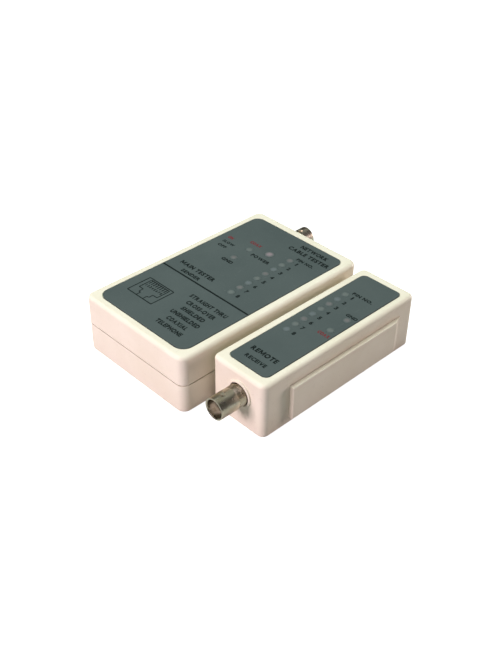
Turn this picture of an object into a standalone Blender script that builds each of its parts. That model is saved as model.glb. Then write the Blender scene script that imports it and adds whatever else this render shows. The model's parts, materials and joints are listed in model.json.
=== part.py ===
"""Network cable tester: a main unit and a remote unit, each an assembly of separate pieces.

All dimensions are in millimetres, and scaled to metres where a mesh is made.
+X runs from the main unit to the remote, +Y towards the main unit's sockets, +Z is up.
The origin is the centre of the main unit's underside.
"""

import math

import bmesh
import bpy
from mathutils import Matrix, Vector

MM = 0.001
GAP = 0.3  # clearance between neighbouring pieces

# Main unit casing
MAIN_WIDTH = 61.8
MAIN_LENGTH = 102.6
MAIN_HEIGHT = 27.4
MAIN_CORNER = 3.8
TOP_EDGE = 1.8
BOTTOM_EDGE = 1.0
WALL = 2.2
ROOF = 2.4
FLOOR = 3.0
PARTING_Z = 13.7
LIP_THICKNESS = 0.9
LIP_HEIGHT = 1.2
CHANNEL_DEPTH = 2.5  # the groove in the main unit's side that the remote's rail parks in
CHANNEL_NEAR_Y = -27.6
CHANNEL_CLEARANCE = 0.2

# Remote unit casing
REMOTE_WIDTH = 28.6
REMOTE_LENGTH = 90.3
REMOTE_HEIGHT = 25.9
REMOTE_CORNER = 3.0
REMOTE_WALL = 2.0
REMOTE_ROOF = 2.3
REMOTE_X = 48.3
REMOTE_Y = 6.55
COVER_THICKNESS = 2.0
RAIL_DEPTH = 2.2
RAIL_LOW_Z = 3.3
RAIL_HIGH_Z = 20.7
RAIL_NEAR_INSET = 12.5
RAIL_LENGTH = 66.0
RAIL_CORNER = 0.8
RAIL_EDGE = 0.5

# Overlays on the tops: margins to the case's left, right, near and far faces
LABEL_THICKNESS = 0.4
LABEL_PROUD = 0.1
MAIN_LABEL_MARGINS = (4.0, 4.2, 4.1, 4.9)
MAIN_LABEL_CORNERS = (4.9, 3.4)  # near, far
REMOTE_LABEL_MARGINS = (4.1, 3.7, 4.7, 4.5)
REMOTE_LABEL_CORNERS = (2.4, 2.4)

# Lamps: a row of eight at the board's pitch, and single lamps
LAMP_PITCH = 5.08
LAMP_RADIUS = 1.5
POWER_LAMP_RADIUS = 2.0
LAMP_ABOVE_LABEL = 0.2
MAIN_ROW_X = 10.0
MAIN_ROW_FAR_Y = 29.7
MAIN_POWER_LAMP = (0.2, 26.8)
MAIN_COAX_LAMP = (-8.8, 23.1)
MAIN_GROUND_LAMP = (-8.9, 13.6)
REMOTE_ROW_X = -5.7
REMOTE_ROW_FAR_Y = 23.1
REMOTE_GROUND_LAMP = (7.1, 9.6)
REMOTE_COAX_LAMP = (6.9, -0.3)

# Circuit boards
BOARD_THICKNESS = 1.6
BOARD_BELOW_LAMP_TOP = 7.1
MAIN_BOARD_NEAR_Y = -11.0
CHIP_CENTRE = (-1.0, 4.0)
CHIP_SIZE = (6.4, 19.2, 3.0)
CHIP_ABOVE_BOARD = 0.8
CHIP_LEGS_A_SIDE = 7
CHIP_LEG_PITCH = 2.54

# Coaxial bayonet socket, along its own axis with 0 at the case's outer face
COAX_REACH = 13.5
COAX_RADIUS = 4.8
COAX_BORE = 4.05
COAX_INSIDE = 3.5
COAX_COLLAR_RADIUS = 6.1
COAX_COLLAR_HEIGHT = 0.8
COAX_LUG_RADIUS = 1.0
COAX_LUG_REACH = 5.55
COAX_LUG_FROM_MOUTH = 4.6
COAX_SLEEVE_RADIUS = 2.4
COAX_SLEEVE_FROM_MOUTH = 5.0
COAX_BASE_TOP = 3.4  # where the insulator's wide base ends and its sleeve begins
COAX_CONTACT_RADIUS = 0.9
COAX_CONTACT_BORE = 0.5
COAX_CONTACT_BORE_END = 5.0
COAX_CONTACT_TAIL = -6.0
COAX_HOUSING = 14.5
COAX_HOUSING_DEPTH = 12.0
COAX_HOUSING_CORNER = 0.8
MAIN_COAX_X = -12.0
MAIN_COAX_Z = 16.0
REMOTE_COAX_X = 1.5
REMOTE_COAX_Z = 15.8

# Eight-way modular jack
JACK_WIDTH = 16.0
JACK_HEIGHT = 13.5
JACK_DEPTH = 18.0
JACK_MOUTH_WIDTH = 11.9
JACK_MOUTH_HEIGHT = 7.1
JACK_MOUTH_DEPTH = 14.5
JACK_MOUTH_LOW = 4.0  # above the housing's underside
JACK_LATCH = (3.3, 9.0, 1.5)  # half width, depth and drop below the mouth
JACK_NOTCH = (1.8, 8.0, 2.6)
JACK_CONTACTS = 8
JACK_CONTACT_PITCH = 1.02
MAIN_JACK_X = 11.0

# Power switch on the left side
SWITCH_Y = 19.5
SWITCH_Z = 16.2
SWITCH_BODY = (5.4, 13.0, 5.0)
SWITCH_TRAVEL = 2.5  # each way from the middle position
KNOB = (2.3, 4.2, 3.4)  # reach beyond the case, length, height

# Battery and its door
BATTERY_LENGTH = 45.5
BATTERY_WIDTH = 26.5
BATTERY_HEIGHT = 17.5
BATTERY_X = -4.05
BATTERY_Y = -33.6
BATTERY_LOW_Z = 1.9
BATTERY_CORNER = 1.5
TERMINAL_REACH = 2.8
TERMINAL_RADII = (2.85, 4.0)
TERMINAL_SPACING = 12.7
SNAP_THICKNESS = 3.5
SNAP_HALF_SIZE = (12.5, 6.5)  # along Y and Z
LEAD_RADIUS = 0.6
DOOR_LOW_Z = 0.2
DOOR_THICKNESS = 1.4
DOOR_WIDTH = 28.0
DOVETAIL = 0.9
DOOR_INNER_X = 24.8
GRIP_GROOVES = 6
GRIP_PITCH = 1.8
GRIP_WIDTH = 0.8
GRIP_HALF_LENGTH = 8.0

# Screws and their posts
SCREW_HEAD_RADIUS = 2.3
SCREW_HEAD_HEIGHT = 1.6
SCREW_SHAFT_RADIUS = 1.2
SCREW_LENGTH = 14.0
SCREW_HEAD_Z = 0.5
POST_RADIUS = 3.75
UPPER_POST_RADIUS = 2.9
REMOTE_POST_RADIUS = 2.7
BOSS_RADIUS = 2.85
BOSS_RISE = 2.3
MAIN_POSTS = ((-24.2, -14.5), (21.7, -14.5), (-24.2, 44.9), (21.7, 44.9))
REMOTE_POSTS = ((-8.9, -34.0), (8.0, 20.0))

ROUND_STEPS = 24
SMALL_ROUND_STEPS = 12
CORNER_STEPS = 4
DOME_STEPS = 3
SHARP_ANGLE = math.radians(35)

# Colour, roughness and metallic value of each material
FINISHES = {
    "case_plastic": ((0.86, 0.80, 0.70), 0.45, 0.0),
    "overlay": ((0.10, 0.125, 0.125), 0.5, 0.0),
    "lamp_lens": ((0.30, 0.30, 0.30), 0.3, 0.0),
    "nickel": ((0.72, 0.70, 0.66), 0.22, 1.0),
    "insulator": ((0.85, 0.84, 0.80), 0.5, 0.0),
    "gold": ((0.85, 0.62, 0.25), 0.25, 1.0),
    "black_plastic": ((0.02, 0.02, 0.02), 0.45, 0.0),
    "board": ((0.03, 0.16, 0.07), 0.4, 0.0),
    "battery_wrap": ((0.05, 0.06, 0.12), 0.35, 0.2),
    "steel": ((0.55, 0.55, 0.55), 0.3, 1.0),
    "red_wire": ((0.5, 0.02, 0.02), 0.4, 0.0),
    "black_wire": ((0.01, 0.01, 0.01), 0.4, 0.0),
}


# ---------------------------------------------------------------- scene and materials


def clear_scene():
    for item in list(bpy.data.objects):
        bpy.data.objects.remove(item, do_unlink=True)


def new_collection(name):
    collection = bpy.data.collections.new(name)
    bpy.context.scene.collection.children.link(collection)
    return collection


def make_material(name, colour, roughness, metallic):
    material = bpy.data.materials.new(name)
    material.use_nodes = True
    shader = material.node_tree.nodes["Principled BSDF"]
    shader.inputs["Base Color"].default_value = (*colour, 1.0)
    shader.inputs["Roughness"].default_value = roughness
    shader.inputs["Metallic"].default_value = metallic
    return material


clear_scene()
PARTS = new_collection("network_cable_tester")
CUTTERS = new_collection("cutters")
MATERIALS = {name: make_material(name, *finish) for name, finish in FINISHES.items()}


def frame_at(name, x, y, z):
    """An empty that the pieces of one moving or standing group are parented to."""
    empty = bpy.data.objects.new(name, None)
    empty.location = Vector((x, y, z)) * MM
    PARTS.objects.link(empty)
    return empty


def place(obj, at, parent, collection=PARTS):
    """Puts an object in its collection at a location given in its parent's frame."""
    obj.location = Vector(at) * MM
    obj.parent = parent
    collection.objects.link(obj)
    return obj


def add_part(name, mesh, finish, at=(0, 0, 0), parent=None):
    """A named piece from a mesh, with its own material."""
    obj = bpy.data.objects.new(name, mesh)
    if not mesh.materials:
        mesh.materials.append(MATERIALS[finish])
    return place(obj, at, parent)


def add_cutter(name, mesh, at=(0, 0, 0), parent=None):
    cutter = place(bpy.data.objects.new(name, mesh), at, parent, CUTTERS)
    cutter.hide_render = True
    cutter.display_type = "WIRE"
    return cutter


def combine(part, other, operation):
    """Cuts a piece by another object, or joins it to one."""
    modifier = part.modifiers.new(other.name, "BOOLEAN")
    modifier.object = other
    modifier.operation = operation
    modifier.solver = "EXACT"


def cut(part, *cutters):
    for cutter in cutters:
        combine(part, cutter, "DIFFERENCE")


def join(part, *others):
    for other in others:
        combine(part, other, "UNION")


def helper_object(name, mesh):
    """An object that only lends its shape to a piece."""
    return place(bpy.data.objects.new(name, mesh), (0, 0, 0), None, CUTTERS)


def settled_mesh(obj):
    """The mesh of an object with its modifiers applied, its loose caps welded."""
    bpy.context.view_layer.update()
    evaluated = obj.evaluated_get(bpy.context.evaluated_depsgraph_get())
    mesh = bpy.data.meshes.new_from_object(evaluated)
    bm = bmesh.new()
    bm.from_mesh(mesh)
    bmesh.ops.remove_doubles(bm, verts=bm.verts, dist=1e-6)
    bm.to_mesh(mesh)
    bm.free()
    return mesh


def take_mesh(obj):
    """Turns a helper object into its settled mesh and removes the object."""
    mesh = settled_mesh(obj)
    bpy.data.objects.remove(obj, do_unlink=True)
    return mesh


# ---------------------------------------------------------------- shapes


def to_mesh(name, bm):
    """Writes a bmesh in millimetres to a mesh in metres."""
    bmesh.ops.scale(bm, vec=(MM, MM, MM), verts=bm.verts)
    mesh = bpy.data.meshes.new(name)
    bm.to_mesh(mesh)
    bm.free()
    mesh.shade_smooth()
    mesh.set_sharp_from_angle(angle=SHARP_ANGLE)
    return mesh


def add_box(bm, low, high):
    """One box between two corners."""
    low = Vector(low)
    high = Vector(high)
    verts = bmesh.ops.create_cube(bm, size=1.0)["verts"]
    bmesh.ops.scale(bm, vec=high - low, verts=verts)
    bmesh.ops.translate(bm, vec=(low + high) / 2, verts=verts)


def box_mesh(name, *corner_pairs):
    """One or more separate boxes."""
    bm = bmesh.new()
    for low, high in corner_pairs:
        add_box(bm, low, high)
    return to_mesh(name, bm)


def rounded_block(name, low, high, corner=0.0, top=0.0, bottom=0.0):
    """A box whose upright, top and bottom edges are rounded to their own radii."""
    bm = bmesh.new()
    add_box(bm, low, high)

    def upright(edge):
        a, b = edge.verts
        return abs(a.co.z - b.co.z) > abs(high[2] - low[2]) / 2

    def at_height(z):
        return lambda edge: all(abs(v.co.z - z) < 1e-4 for v in edge.verts)

    for chosen, radius in ((upright, corner), (at_height(high[2]), top), (at_height(low[2]), bottom)):
        if radius:
            edges = [edge for edge in bm.edges if chosen(edge)]
            bmesh.ops.bevel(
                bm, geom=edges, offset=radius, segments=CORNER_STEPS, profile=0.5, affect="EDGES"
            )
    return to_mesh(name, bm)


def rod_mesh(name, *rods, steps=ROUND_STEPS):
    """Separate round rods, each (radius, start point, end point)."""
    bm = bmesh.new()
    for radius, start, end in rods:
        start = Vector(start)
        run = Vector(end) - start
        turn = run.to_track_quat("Z", "Y").to_matrix().to_4x4()
        matrix = Matrix.Translation(start + run / 2) @ turn
        bmesh.ops.create_cone(
            bm,
            cap_ends=True,
            segments=steps,
            radius1=radius,
            radius2=radius,
            depth=run.length,
            matrix=matrix,
        )
    return to_mesh(name, bm)


def box_cutter(name, low, high, frame=None):
    """A box that cuts a piece or is joined to one."""
    return add_cutter(name, box_mesh(name, (low, high)), (0, 0, 0), frame)


def add_box_part(name, low, high, finish, frame):
    """A piece that starts as a plain box."""
    return add_part(name, box_mesh(name, (low, high)), finish, (0, 0, 0), frame)


def small_rods(name, rods, frame):
    """A cutter or a joined form made of separate slim rods."""
    return add_cutter(name, rod_mesh(name, *rods, steps=SMALL_ROUND_STEPS), (0, 0, 0), frame)


def turned_mesh(name, profile, closed, steps=ROUND_STEPS):
    """A profile of (radius, height) points, running down the outer side, turned about Z."""
    bm = bmesh.new()
    verts = [bm.verts.new((radius, 0.0, height)) for radius, height in profile]
    pairs = list(zip(verts, verts[1:]))
    if closed:
        pairs.append((verts[-1], verts[0]))
    for pair in pairs:
        bm.edges.new(pair)
    helper = helper_object(name, to_mesh(name, bm))
    screw = helper.modifiers.new("turn", "SCREW")
    screw.axis = "Z"
    screw.steps = steps
    screw.render_steps = steps
    screw.use_merge_vertices = True
    screw.merge_threshold = 1e-6
    mesh = take_mesh(helper)
    mesh.name = name
    mesh.shade_smooth()
    mesh.set_sharp_from_angle(angle=SHARP_ANGLE)
    return mesh


def arc_points(centre, radius, start, steps):
    """A quarter circle of points, from the start angle in degrees, turning left."""
    angles = [math.radians(start + 90.0 * step / steps) for step in range(steps + 1)]
    return [(centre[0] + radius * math.cos(a), centre[1] + radius * math.sin(a)) for a in angles]


def rounded_outline(low, high, near_radius, far_radius):
    """A rectangle in X and Y with rounded corners, near and far corners apart."""
    corners = (
        ((high[0] - far_radius, high[1] - far_radius), far_radius, 0),
        ((low[0] + far_radius, high[1] - far_radius), far_radius, 90),
        ((low[0] + near_radius, low[1] + near_radius), near_radius, 180),
        ((high[0] - near_radius, low[1] + near_radius), near_radius, 270),
    )
    points = []
    for centre, radius, start in corners:
        points += arc_points(centre, radius, start, CORNER_STEPS)
    return points


def circle_outline(centre, radius, steps=SMALL_ROUND_STEPS):
    angles = [2 * math.pi * step / steps for step in range(steps)]
    return [(centre[0] + radius * math.cos(a), centre[1] + radius * math.sin(a)) for a in angles]


def plate_mesh(name, outline, thickness, holes=()):
    """A flat plate from an outline and the outlines of its holes, its middle at z = 0."""
    curve = bpy.data.curves.new(name, "CURVE")
    curve.dimensions = "2D"
    curve.fill_mode = "BOTH"
    curve.extrude = thickness / 2 * MM
    for points in (outline, *holes):
        spline = curve.splines.new("POLY")
        spline.points.add(len(points) - 1)
        for point, (x, y) in zip(spline.points, points):
            point.co = (x * MM, y * MM, 0.0, 1.0)
        spline.use_cyclic_u = True
    return take_mesh(helper_object(name, curve))


def wire_mesh(name, radius, points):
    """A round wire through points, with its ends closed."""
    curve = bpy.data.curves.new(name, "CURVE")
    curve.dimensions = "3D"
    curve.bevel_depth = radius * MM
    curve.bevel_resolution = 2
    curve.use_fill_caps = True
    spline = curve.splines.new("POLY")
    spline.points.add(len(points) - 1)
    for point, co in zip(spline.points, points):
        point.co = (*(Vector(co) * MM), 1.0)
    mesh = take_mesh(helper_object(name, curve))
    mesh.shade_smooth()
    return mesh


# ---------------------------------------------------------------- repeated pieces


def lamp_mesh(name, radius):
    """A round-headed lamp on two legs, its dome's top at z = 0."""
    body = 5.3
    flange_radius = radius + 0.4
    angles = [math.pi / 2 * step / DOME_STEPS for step in range(DOME_STEPS + 1)]
    profile = [(radius * math.sin(a), radius * math.cos(a) - radius) for a in angles]
    profile += [(radius, 1.0 - body), (flange_radius, 1.0 - body), (flange_radius, -body), (0.0, -body)]
    lamp = helper_object(name, turned_mesh(name, profile, False, SMALL_ROUND_STEPS))
    half_pitch = 1.0
    half_leg = 0.25
    leg_end = GAP - BOARD_BELOW_LAMP_TOP
    pairs = []
    for side in (-half_pitch, half_pitch):
        pairs.append(((side - half_leg, -half_leg, leg_end), (side + half_leg, half_leg, 0.5 - body)))
    legs = add_cutter(name + "_legs", box_mesh(name + "_legs", *pairs))
    join(lamp, legs)
    mesh = take_mesh(lamp)
    bpy.data.objects.remove(legs, do_unlink=True)
    return mesh


def screw_mesh():
    """A pan-head screw pointing up, its head's outer face at z = 0, with a cross recess."""
    head = SCREW_HEAD_RADIUS
    shaft = SCREW_SHAFT_RADIUS
    profile = [
        (0.0, SCREW_HEAD_HEIGHT + SCREW_LENGTH),
        (shaft * 0.3, SCREW_HEAD_HEIGHT + SCREW_LENGTH),
        (shaft, SCREW_HEAD_HEIGHT + SCREW_LENGTH - 1.5),
        (shaft, SCREW_HEAD_HEIGHT),
        (head, SCREW_HEAD_HEIGHT),
        (head, 0.7),
        (head * 0.8, 0.2),
        (head * 0.4, 0.0),
        (0.0, 0.0),
    ]
    screw = helper_object("screw", turned_mesh("screw", profile, False, SMALL_ROUND_STEPS))
    arm = 1.5
    half = 0.28
    depth = 0.9
    slot = add_cutter("recess_x", box_mesh("recess_x", ((-arm, -half, -1), (arm, half, depth))))
    cross = add_cutter("recess_y", box_mesh("recess_y", ((-half, -arm, -1), (half, arm, depth))))
    cut(screw, slot, cross)
    mesh = take_mesh(screw)
    for helper in (slot, cross):
        bpy.data.objects.remove(helper, do_unlink=True)
    mesh.shade_smooth()
    mesh.set_sharp_from_angle(angle=SHARP_ANGLE)
    return mesh


def label_box(width, length, margins):
    """The low and high corners of an overlay, in its casing's frame."""
    left, right, near, far = margins
    return (-width / 2 + left, -length / 2 + near), (width / 2 - right, length / 2 - far)


def lamp_places(row_x, row_far_y, singles):
    """Name, centre and radius of each lamp of a unit."""
    places = []
    for number in range(1, 9):
        places.append((f"led_{number}", (row_x, row_far_y - LAMP_PITCH * (number - 1)), LAMP_RADIUS))
    return places + list(singles)


def lamp_holes(lamps):
    return [circle_outline(centre, radius + GAP) for _, centre, radius in lamps]


def add_label(prefix, case_size, margins, corners, lamps, frame):
    """The overlay on a casing's top, and the cutter of the recess that it lies in."""
    low, high = label_box(case_size[0], case_size[1], margins)
    outline = rounded_outline(low, high, *corners)
    top = case_size[2] + LABEL_PROUD
    mesh = plate_mesh(prefix + "_label", outline, LABEL_THICKNESS, lamp_holes(lamps))
    add_part(prefix + "_label", mesh, "overlay", (0, 0, top - LABEL_THICKNESS / 2), frame)
    low = (low[0] - GAP, low[1] - GAP)
    high = (high[0] + GAP, high[1] + GAP)
    grown = rounded_outline(low, high, corners[0] + GAP, corners[1] + GAP)
    floor = top - LABEL_THICKNESS - GAP
    height = 3.0
    recess = plate_mesh(prefix + "_label_recess", grown, height)
    return add_cutter(prefix + "_label_recess", recess, (0, 0, floor + height / 2), frame)


def add_lamps(prefix, lamps, label_top, frame):
    """A unit's lamps, and the cutter of their holes through the casing's roof."""
    meshes = {radius: lamp_mesh("lamp", radius) for radius in sorted({lamp[2] for lamp in lamps})}
    top = label_top + LAMP_ABOVE_LABEL
    rods = []
    for name, (x, y), radius in lamps:
        add_part(f"{prefix}_{name}", meshes[radius], "lamp_lens", (x, y, top), frame)
        rods.append((radius + GAP, (x, y, top - 4.6), (x, y, top + 1.0)))
    return small_rods(prefix + "_lamp_holes", rods, frame)


def add_coax_socket(prefix, at, outward, frame):
    """A bayonet socket whose axis leaves the case face at a point; outward is +1 or -1 along Y."""
    turn = (math.radians(-90 * outward), 0, 0)
    mouth = COAX_REACH
    shell = add_part(
        prefix + "_bnc_shell",
        turned_mesh(
            prefix + "_bnc_shell",
            [
                (COAX_BORE + 0.25, mouth),
                (COAX_RADIUS - 0.25, mouth),
                (COAX_RADIUS, mouth - 0.25),
                (COAX_RADIUS, -COAX_INSIDE),
                (COAX_BORE, -COAX_INSIDE),
                (COAX_BORE, mouth - 0.25),
            ],
            True,
        ),
        "nickel",
        at,
        frame,
    )
    lug_z = mouth - COAX_LUG_FROM_MOUTH
    inner = COAX_BORE + 0.3
    lugs = []
    for side in (-1, 1):
        lugs.append((COAX_LUG_RADIUS, (0, side * inner, lug_z), (0, side * COAX_LUG_REACH, lug_z)))
    lug_mesh = rod_mesh(prefix + "_lugs", *lugs, steps=SMALL_ROUND_STEPS)
    lug_pair = add_cutter(prefix + "_lugs", lug_mesh, at, frame)
    join(shell, lug_pair)

    sleeve_end = mouth - COAX_SLEEVE_FROM_MOUTH
    insulator_bore = COAX_CONTACT_RADIUS + GAP
    insulator = add_part(
        prefix + "_bnc_insulator",
        turned_mesh(
            prefix + "_bnc_insulator",
            [
                (insulator_bore, sleeve_end),
                (COAX_SLEEVE_RADIUS, sleeve_end),
                (COAX_SLEEVE_RADIUS, COAX_BASE_TOP),
                (COAX_BORE - GAP, COAX_BASE_TOP),
                (COAX_BORE - GAP, -COAX_INSIDE),
                (insulator_bore, -COAX_INSIDE),
            ],
            True,
        ),
        "insulator",
        at,
        frame,
    )
    contact = add_part(
        prefix + "_bnc_contact",
        turned_mesh(
            prefix + "_bnc_contact",
            [
                (COAX_CONTACT_BORE, sleeve_end - GAP),
                (COAX_CONTACT_RADIUS, sleeve_end - GAP),
                (COAX_CONTACT_RADIUS, COAX_CONTACT_TAIL),
                (0.0, COAX_CONTACT_TAIL),
                (0.0, COAX_CONTACT_BORE_END),
                (COAX_CONTACT_BORE, COAX_CONTACT_BORE_END),
            ],
            True,
            SMALL_ROUND_STEPS,
        ),
        "gold",
        at,
        frame,
    )
    half = COAX_HOUSING / 2
    front = -WALL - GAP
    name = prefix + "_bnc_housing"
    housing_low = (-half, -half, front - COAX_HOUSING_DEPTH)
    housing_mesh = rounded_block(name, housing_low, (half, half, front), COAX_HOUSING_CORNER)
    housing = add_part(name, housing_mesh, "black_plastic", at, frame)
    socket_hole = turned_mesh(
        prefix + "_socket_hole",
        [
            (0.0, 1.0),
            (COAX_RADIUS + GAP, 1.0),
            (COAX_RADIUS + GAP, -COAX_INSIDE - GAP),
            (insulator_bore, -COAX_INSIDE - GAP),
            (insulator_bore, COAX_CONTACT_TAIL - GAP),
            (0.0, COAX_CONTACT_TAIL - GAP),
        ],
        False,
    )
    socket_cutter = add_cutter(prefix + "_socket_hole", socket_hole, at, frame)
    cut(housing, socket_cutter)

    collar_rod = (COAX_COLLAR_RADIUS, (0, 0, -WALL / 2), (0, 0, COAX_COLLAR_HEIGHT))
    opening_rod = (COAX_RADIUS + GAP, (0, 0, -4 * WALL), (0, 0, 2 * WALL))
    collar = rod_mesh(prefix + "_collar", collar_rod)
    opening = rod_mesh(prefix + "_opening", opening_rod)
    collar_cutter = add_cutter(prefix + "_collar", collar, at, frame)
    opening_cutter = add_cutter(prefix + "_coax_opening", opening, at, frame)
    pieces = (shell, insulator, contact, housing)
    for obj in (*pieces, lug_pair, socket_cutter, collar_cutter, opening_cutter):
        obj.rotation_euler = turn
    return collar_cutter, opening_cutter


def add_jack(prefix, x, face_y, low_z, frame):
    """A modular jack whose mouth is flush with the case face that looks along +Y."""
    half = JACK_WIDTH / 2
    back = face_y - JACK_DEPTH
    low = (x - half, back, low_z)
    high = (x + half, face_y, low_z + JACK_HEIGHT)
    name = prefix + "_rj45_housing"
    housing = add_box_part(name, low, high, "black_plastic", frame)

    mouth_half = JACK_MOUTH_WIDTH / 2
    mouth_low = low_z + JACK_MOUTH_LOW
    mouth_high = mouth_low + JACK_MOUTH_HEIGHT
    mouth_back = face_y - JACK_MOUTH_DEPTH
    past = face_y + 2.0
    mouth_corner = (x + mouth_half, past, mouth_high)
    cut(housing, box_cutter(name + "_mouth", (x - mouth_half, mouth_back, mouth_low), mouth_corner, frame))
    for suffix, (half_width, depth, drop) in (("_latch", JACK_LATCH), ("_notch", JACK_NOTCH)):
        step_low = (x - half_width, face_y - depth, mouth_low - drop)
        step_high = (x + half_width, past, mouth_low + 0.5)
        cut(housing, box_cutter(name + suffix, step_low, step_high, frame))

    comb_top = mouth_high - GAP
    comb_back = mouth_back + GAP
    bar_half = (JACK_CONTACTS - 1) * JACK_CONTACT_PITCH / 2 + 0.6
    bar_low = (x - bar_half, comb_back, comb_top - 1.2)
    bar_high = (x + bar_half, comb_back + 1.5, comb_top)
    name = prefix + "_rj45_contacts"
    contacts = add_box_part(name, bar_low, bar_high, "gold", frame)
    fingers = []
    half_finger = 0.25
    finger_back = comb_back + 1.0
    finger_front = face_y - 2.5
    for index in range(JACK_CONTACTS):
        centre = x + (index - (JACK_CONTACTS - 1) / 2) * JACK_CONTACT_PITCH
        finger_low = (centre - half_finger, finger_back, comb_top - 0.9)
        finger_high = (centre + half_finger, finger_front, comb_top - 0.4)
        fingers.append((finger_low, finger_high))
    join(contacts, add_cutter(name + "_fingers", box_mesh(name + "_fingers", *fingers), (0, 0, 0), frame))

    wall_low = (low[0] - GAP, back - 1.0, low[2] - GAP)
    wall_high = (high[0] + GAP, past, high[2] + GAP)
    return box_cutter(prefix + "_jack_opening", wall_low, wall_high, frame)


def add_screws(prefix, posts, frame):
    mesh = screw_mesh()
    for number, (x, y) in enumerate(posts, 1):
        add_part(f"{prefix}_case_screw_{number}", mesh, "steel", (x, y, SCREW_HEAD_Z), frame)


def screw_way(name, posts, frame):
    """The cutter that makes each screw's head recess and the hole for its shaft."""
    head_top = SCREW_HEAD_Z + SCREW_HEAD_HEIGHT + GAP
    shaft_top = SCREW_HEAD_Z + SCREW_HEAD_HEIGHT + SCREW_LENGTH + GAP
    heads = [(SCREW_HEAD_RADIUS + GAP, (x, y, -1.0), (x, y, head_top)) for x, y in posts]
    shafts = [(SCREW_SHAFT_RADIUS + GAP, (x, y, 0.0), (x, y, shaft_top)) for x, y in posts]
    return small_rods(name + "_heads", heads, frame), small_rods(name + "_shafts", shafts, frame)


# ---------------------------------------------------------------- main unit

HALF_WIDTH = MAIN_WIDTH / 2
HALF_LENGTH = MAIN_LENGTH / 2
INNER_LEFT = -HALF_WIDTH + WALL
INNER_RIGHT = HALF_WIDTH - WALL - CHANNEL_DEPTH
INNER_FAR = HALF_LENGTH - WALL
MAIN_LABEL_TOP = MAIN_HEIGHT + LABEL_PROUD
MAIN_BOARD_TOP = MAIN_LABEL_TOP + LAMP_ABOVE_LABEL - BOARD_BELOW_LAMP_TOP
MAIN_BOARD_LOW = MAIN_BOARD_TOP - BOARD_THICKNESS
MAIN_JACK_LOW = MAIN_BOARD_LOW - GAP - JACK_HEIGHT
MAIN_LAMPS = lamp_places(
    MAIN_ROW_X,
    MAIN_ROW_FAR_Y,
    (
        ("led_power", MAIN_POWER_LAMP, POWER_LAMP_RADIUS),
        ("led_gnd", MAIN_GROUND_LAMP, LAMP_RADIUS),
        ("led_coax", MAIN_COAX_LAMP, LAMP_RADIUS),
    ),
)


def trapezoid_bar(name, x_low, x_high, z_low, z_high, half_low, half_high):
    """A bar along X whose width in Y changes from its underside to its top."""
    outline = [(half_low, z_low), (half_high, z_high), (-half_high, z_high), (-half_low, z_low)]
    mesh = plate_mesh(name, outline, x_high - x_low)
    mesh.transform(Matrix.Rotation(math.radians(90), 4, "Z") @ Matrix.Rotation(math.radians(90), 4, "X"))
    mesh.transform(Matrix.Translation(((x_low + x_high) / 2 * MM, 0, 0)))
    return mesh


def main_case_outer(name, frame):
    """The whole outside form of the main casing, before it's parted and hollowed."""
    low = (-HALF_WIDTH, -HALF_LENGTH, 0)
    high = (HALF_WIDTH, HALF_LENGTH, MAIN_HEIGHT)
    mesh = rounded_block(name, low, high, MAIN_CORNER, TOP_EDGE, BOTTOM_EDGE)
    return add_part(name, mesh, "case_plastic", (0, 0, 0), frame)


def add_main_case(frame, collar, openings, roof_cutters, slot):
    """The upper and lower shells, parted all round, with the lower shell's lip inside the upper."""
    reach = 100.0
    parting_low = PARTING_Z - GAP / 2
    parting_high = PARTING_Z + GAP / 2
    lip_top = parting_low + LIP_HEIGHT
    inner_low = (INNER_LEFT, -INNER_FAR, FLOOR)
    inner_high = (INNER_RIGHT, INNER_FAR, MAIN_HEIGHT - ROOF)
    inner_corner = MAIN_CORNER - WALL

    def inner_grown(name, margin, top):
        low = (INNER_LEFT - margin, -INNER_FAR - margin, parting_low - 1.0)
        high = (INNER_RIGHT + margin, INNER_FAR + margin, top)
        return add_cutter(name, rounded_block(name, low, high, inner_corner + margin), (0, 0, 0), frame)

    below = box_cutter("below_parting", (-reach, -reach, -reach), (reach, reach, parting_high), frame)
    above = box_cutter("above_parting", (-reach, -reach, parting_low), (reach, reach, reach), frame)
    cut(above, inner_grown("lip", LIP_THICKNESS, lip_top))
    lip_relief = inner_grown("lip_relief", LIP_THICKNESS + GAP, lip_top + GAP)
    hollow = add_cutter(
        "main_hollow", rounded_block("main_hollow", inner_low, inner_high, inner_corner), (0, 0, 0), frame
    )
    channel = box_cutter(
        "parking_channel",
        (HALF_WIDTH - CHANNEL_DEPTH, CHANNEL_NEAR_Y, RAIL_LOW_Z - CHANNEL_CLEARANCE),
        (reach, reach, RAIL_HIGH_Z + CHANNEL_CLEARANCE),
        frame,
    )
    roof_z = MAIN_HEIGHT - ROOF + 1.0
    upper_posts = [(UPPER_POST_RADIUS, (x, y, parting_high), (x, y, roof_z)) for x, y in MAIN_POSTS]
    lower_posts = [(POST_RADIUS, (x, y, FLOOR - 1.0), (x, y, parting_low)) for x, y in MAIN_POSTS]
    heads, shafts = screw_way("main_screw_way", MAIN_POSTS, frame)

    top = main_case_outer("main_case_top", frame)
    join(top, collar)
    cut(top, hollow, below, lip_relief)
    join(top, small_rods("upper_posts", upper_posts, frame))
    cut(top, channel, shafts, slot, *openings, *roof_cutters)

    bottom = main_case_outer("main_case_bottom", frame)
    join(bottom, collar)
    cut(bottom, hollow, above)
    join(bottom, small_rods("lower_posts", lower_posts, frame))
    cut(bottom, channel, heads, shafts, slot, *openings)
    return bottom


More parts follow.
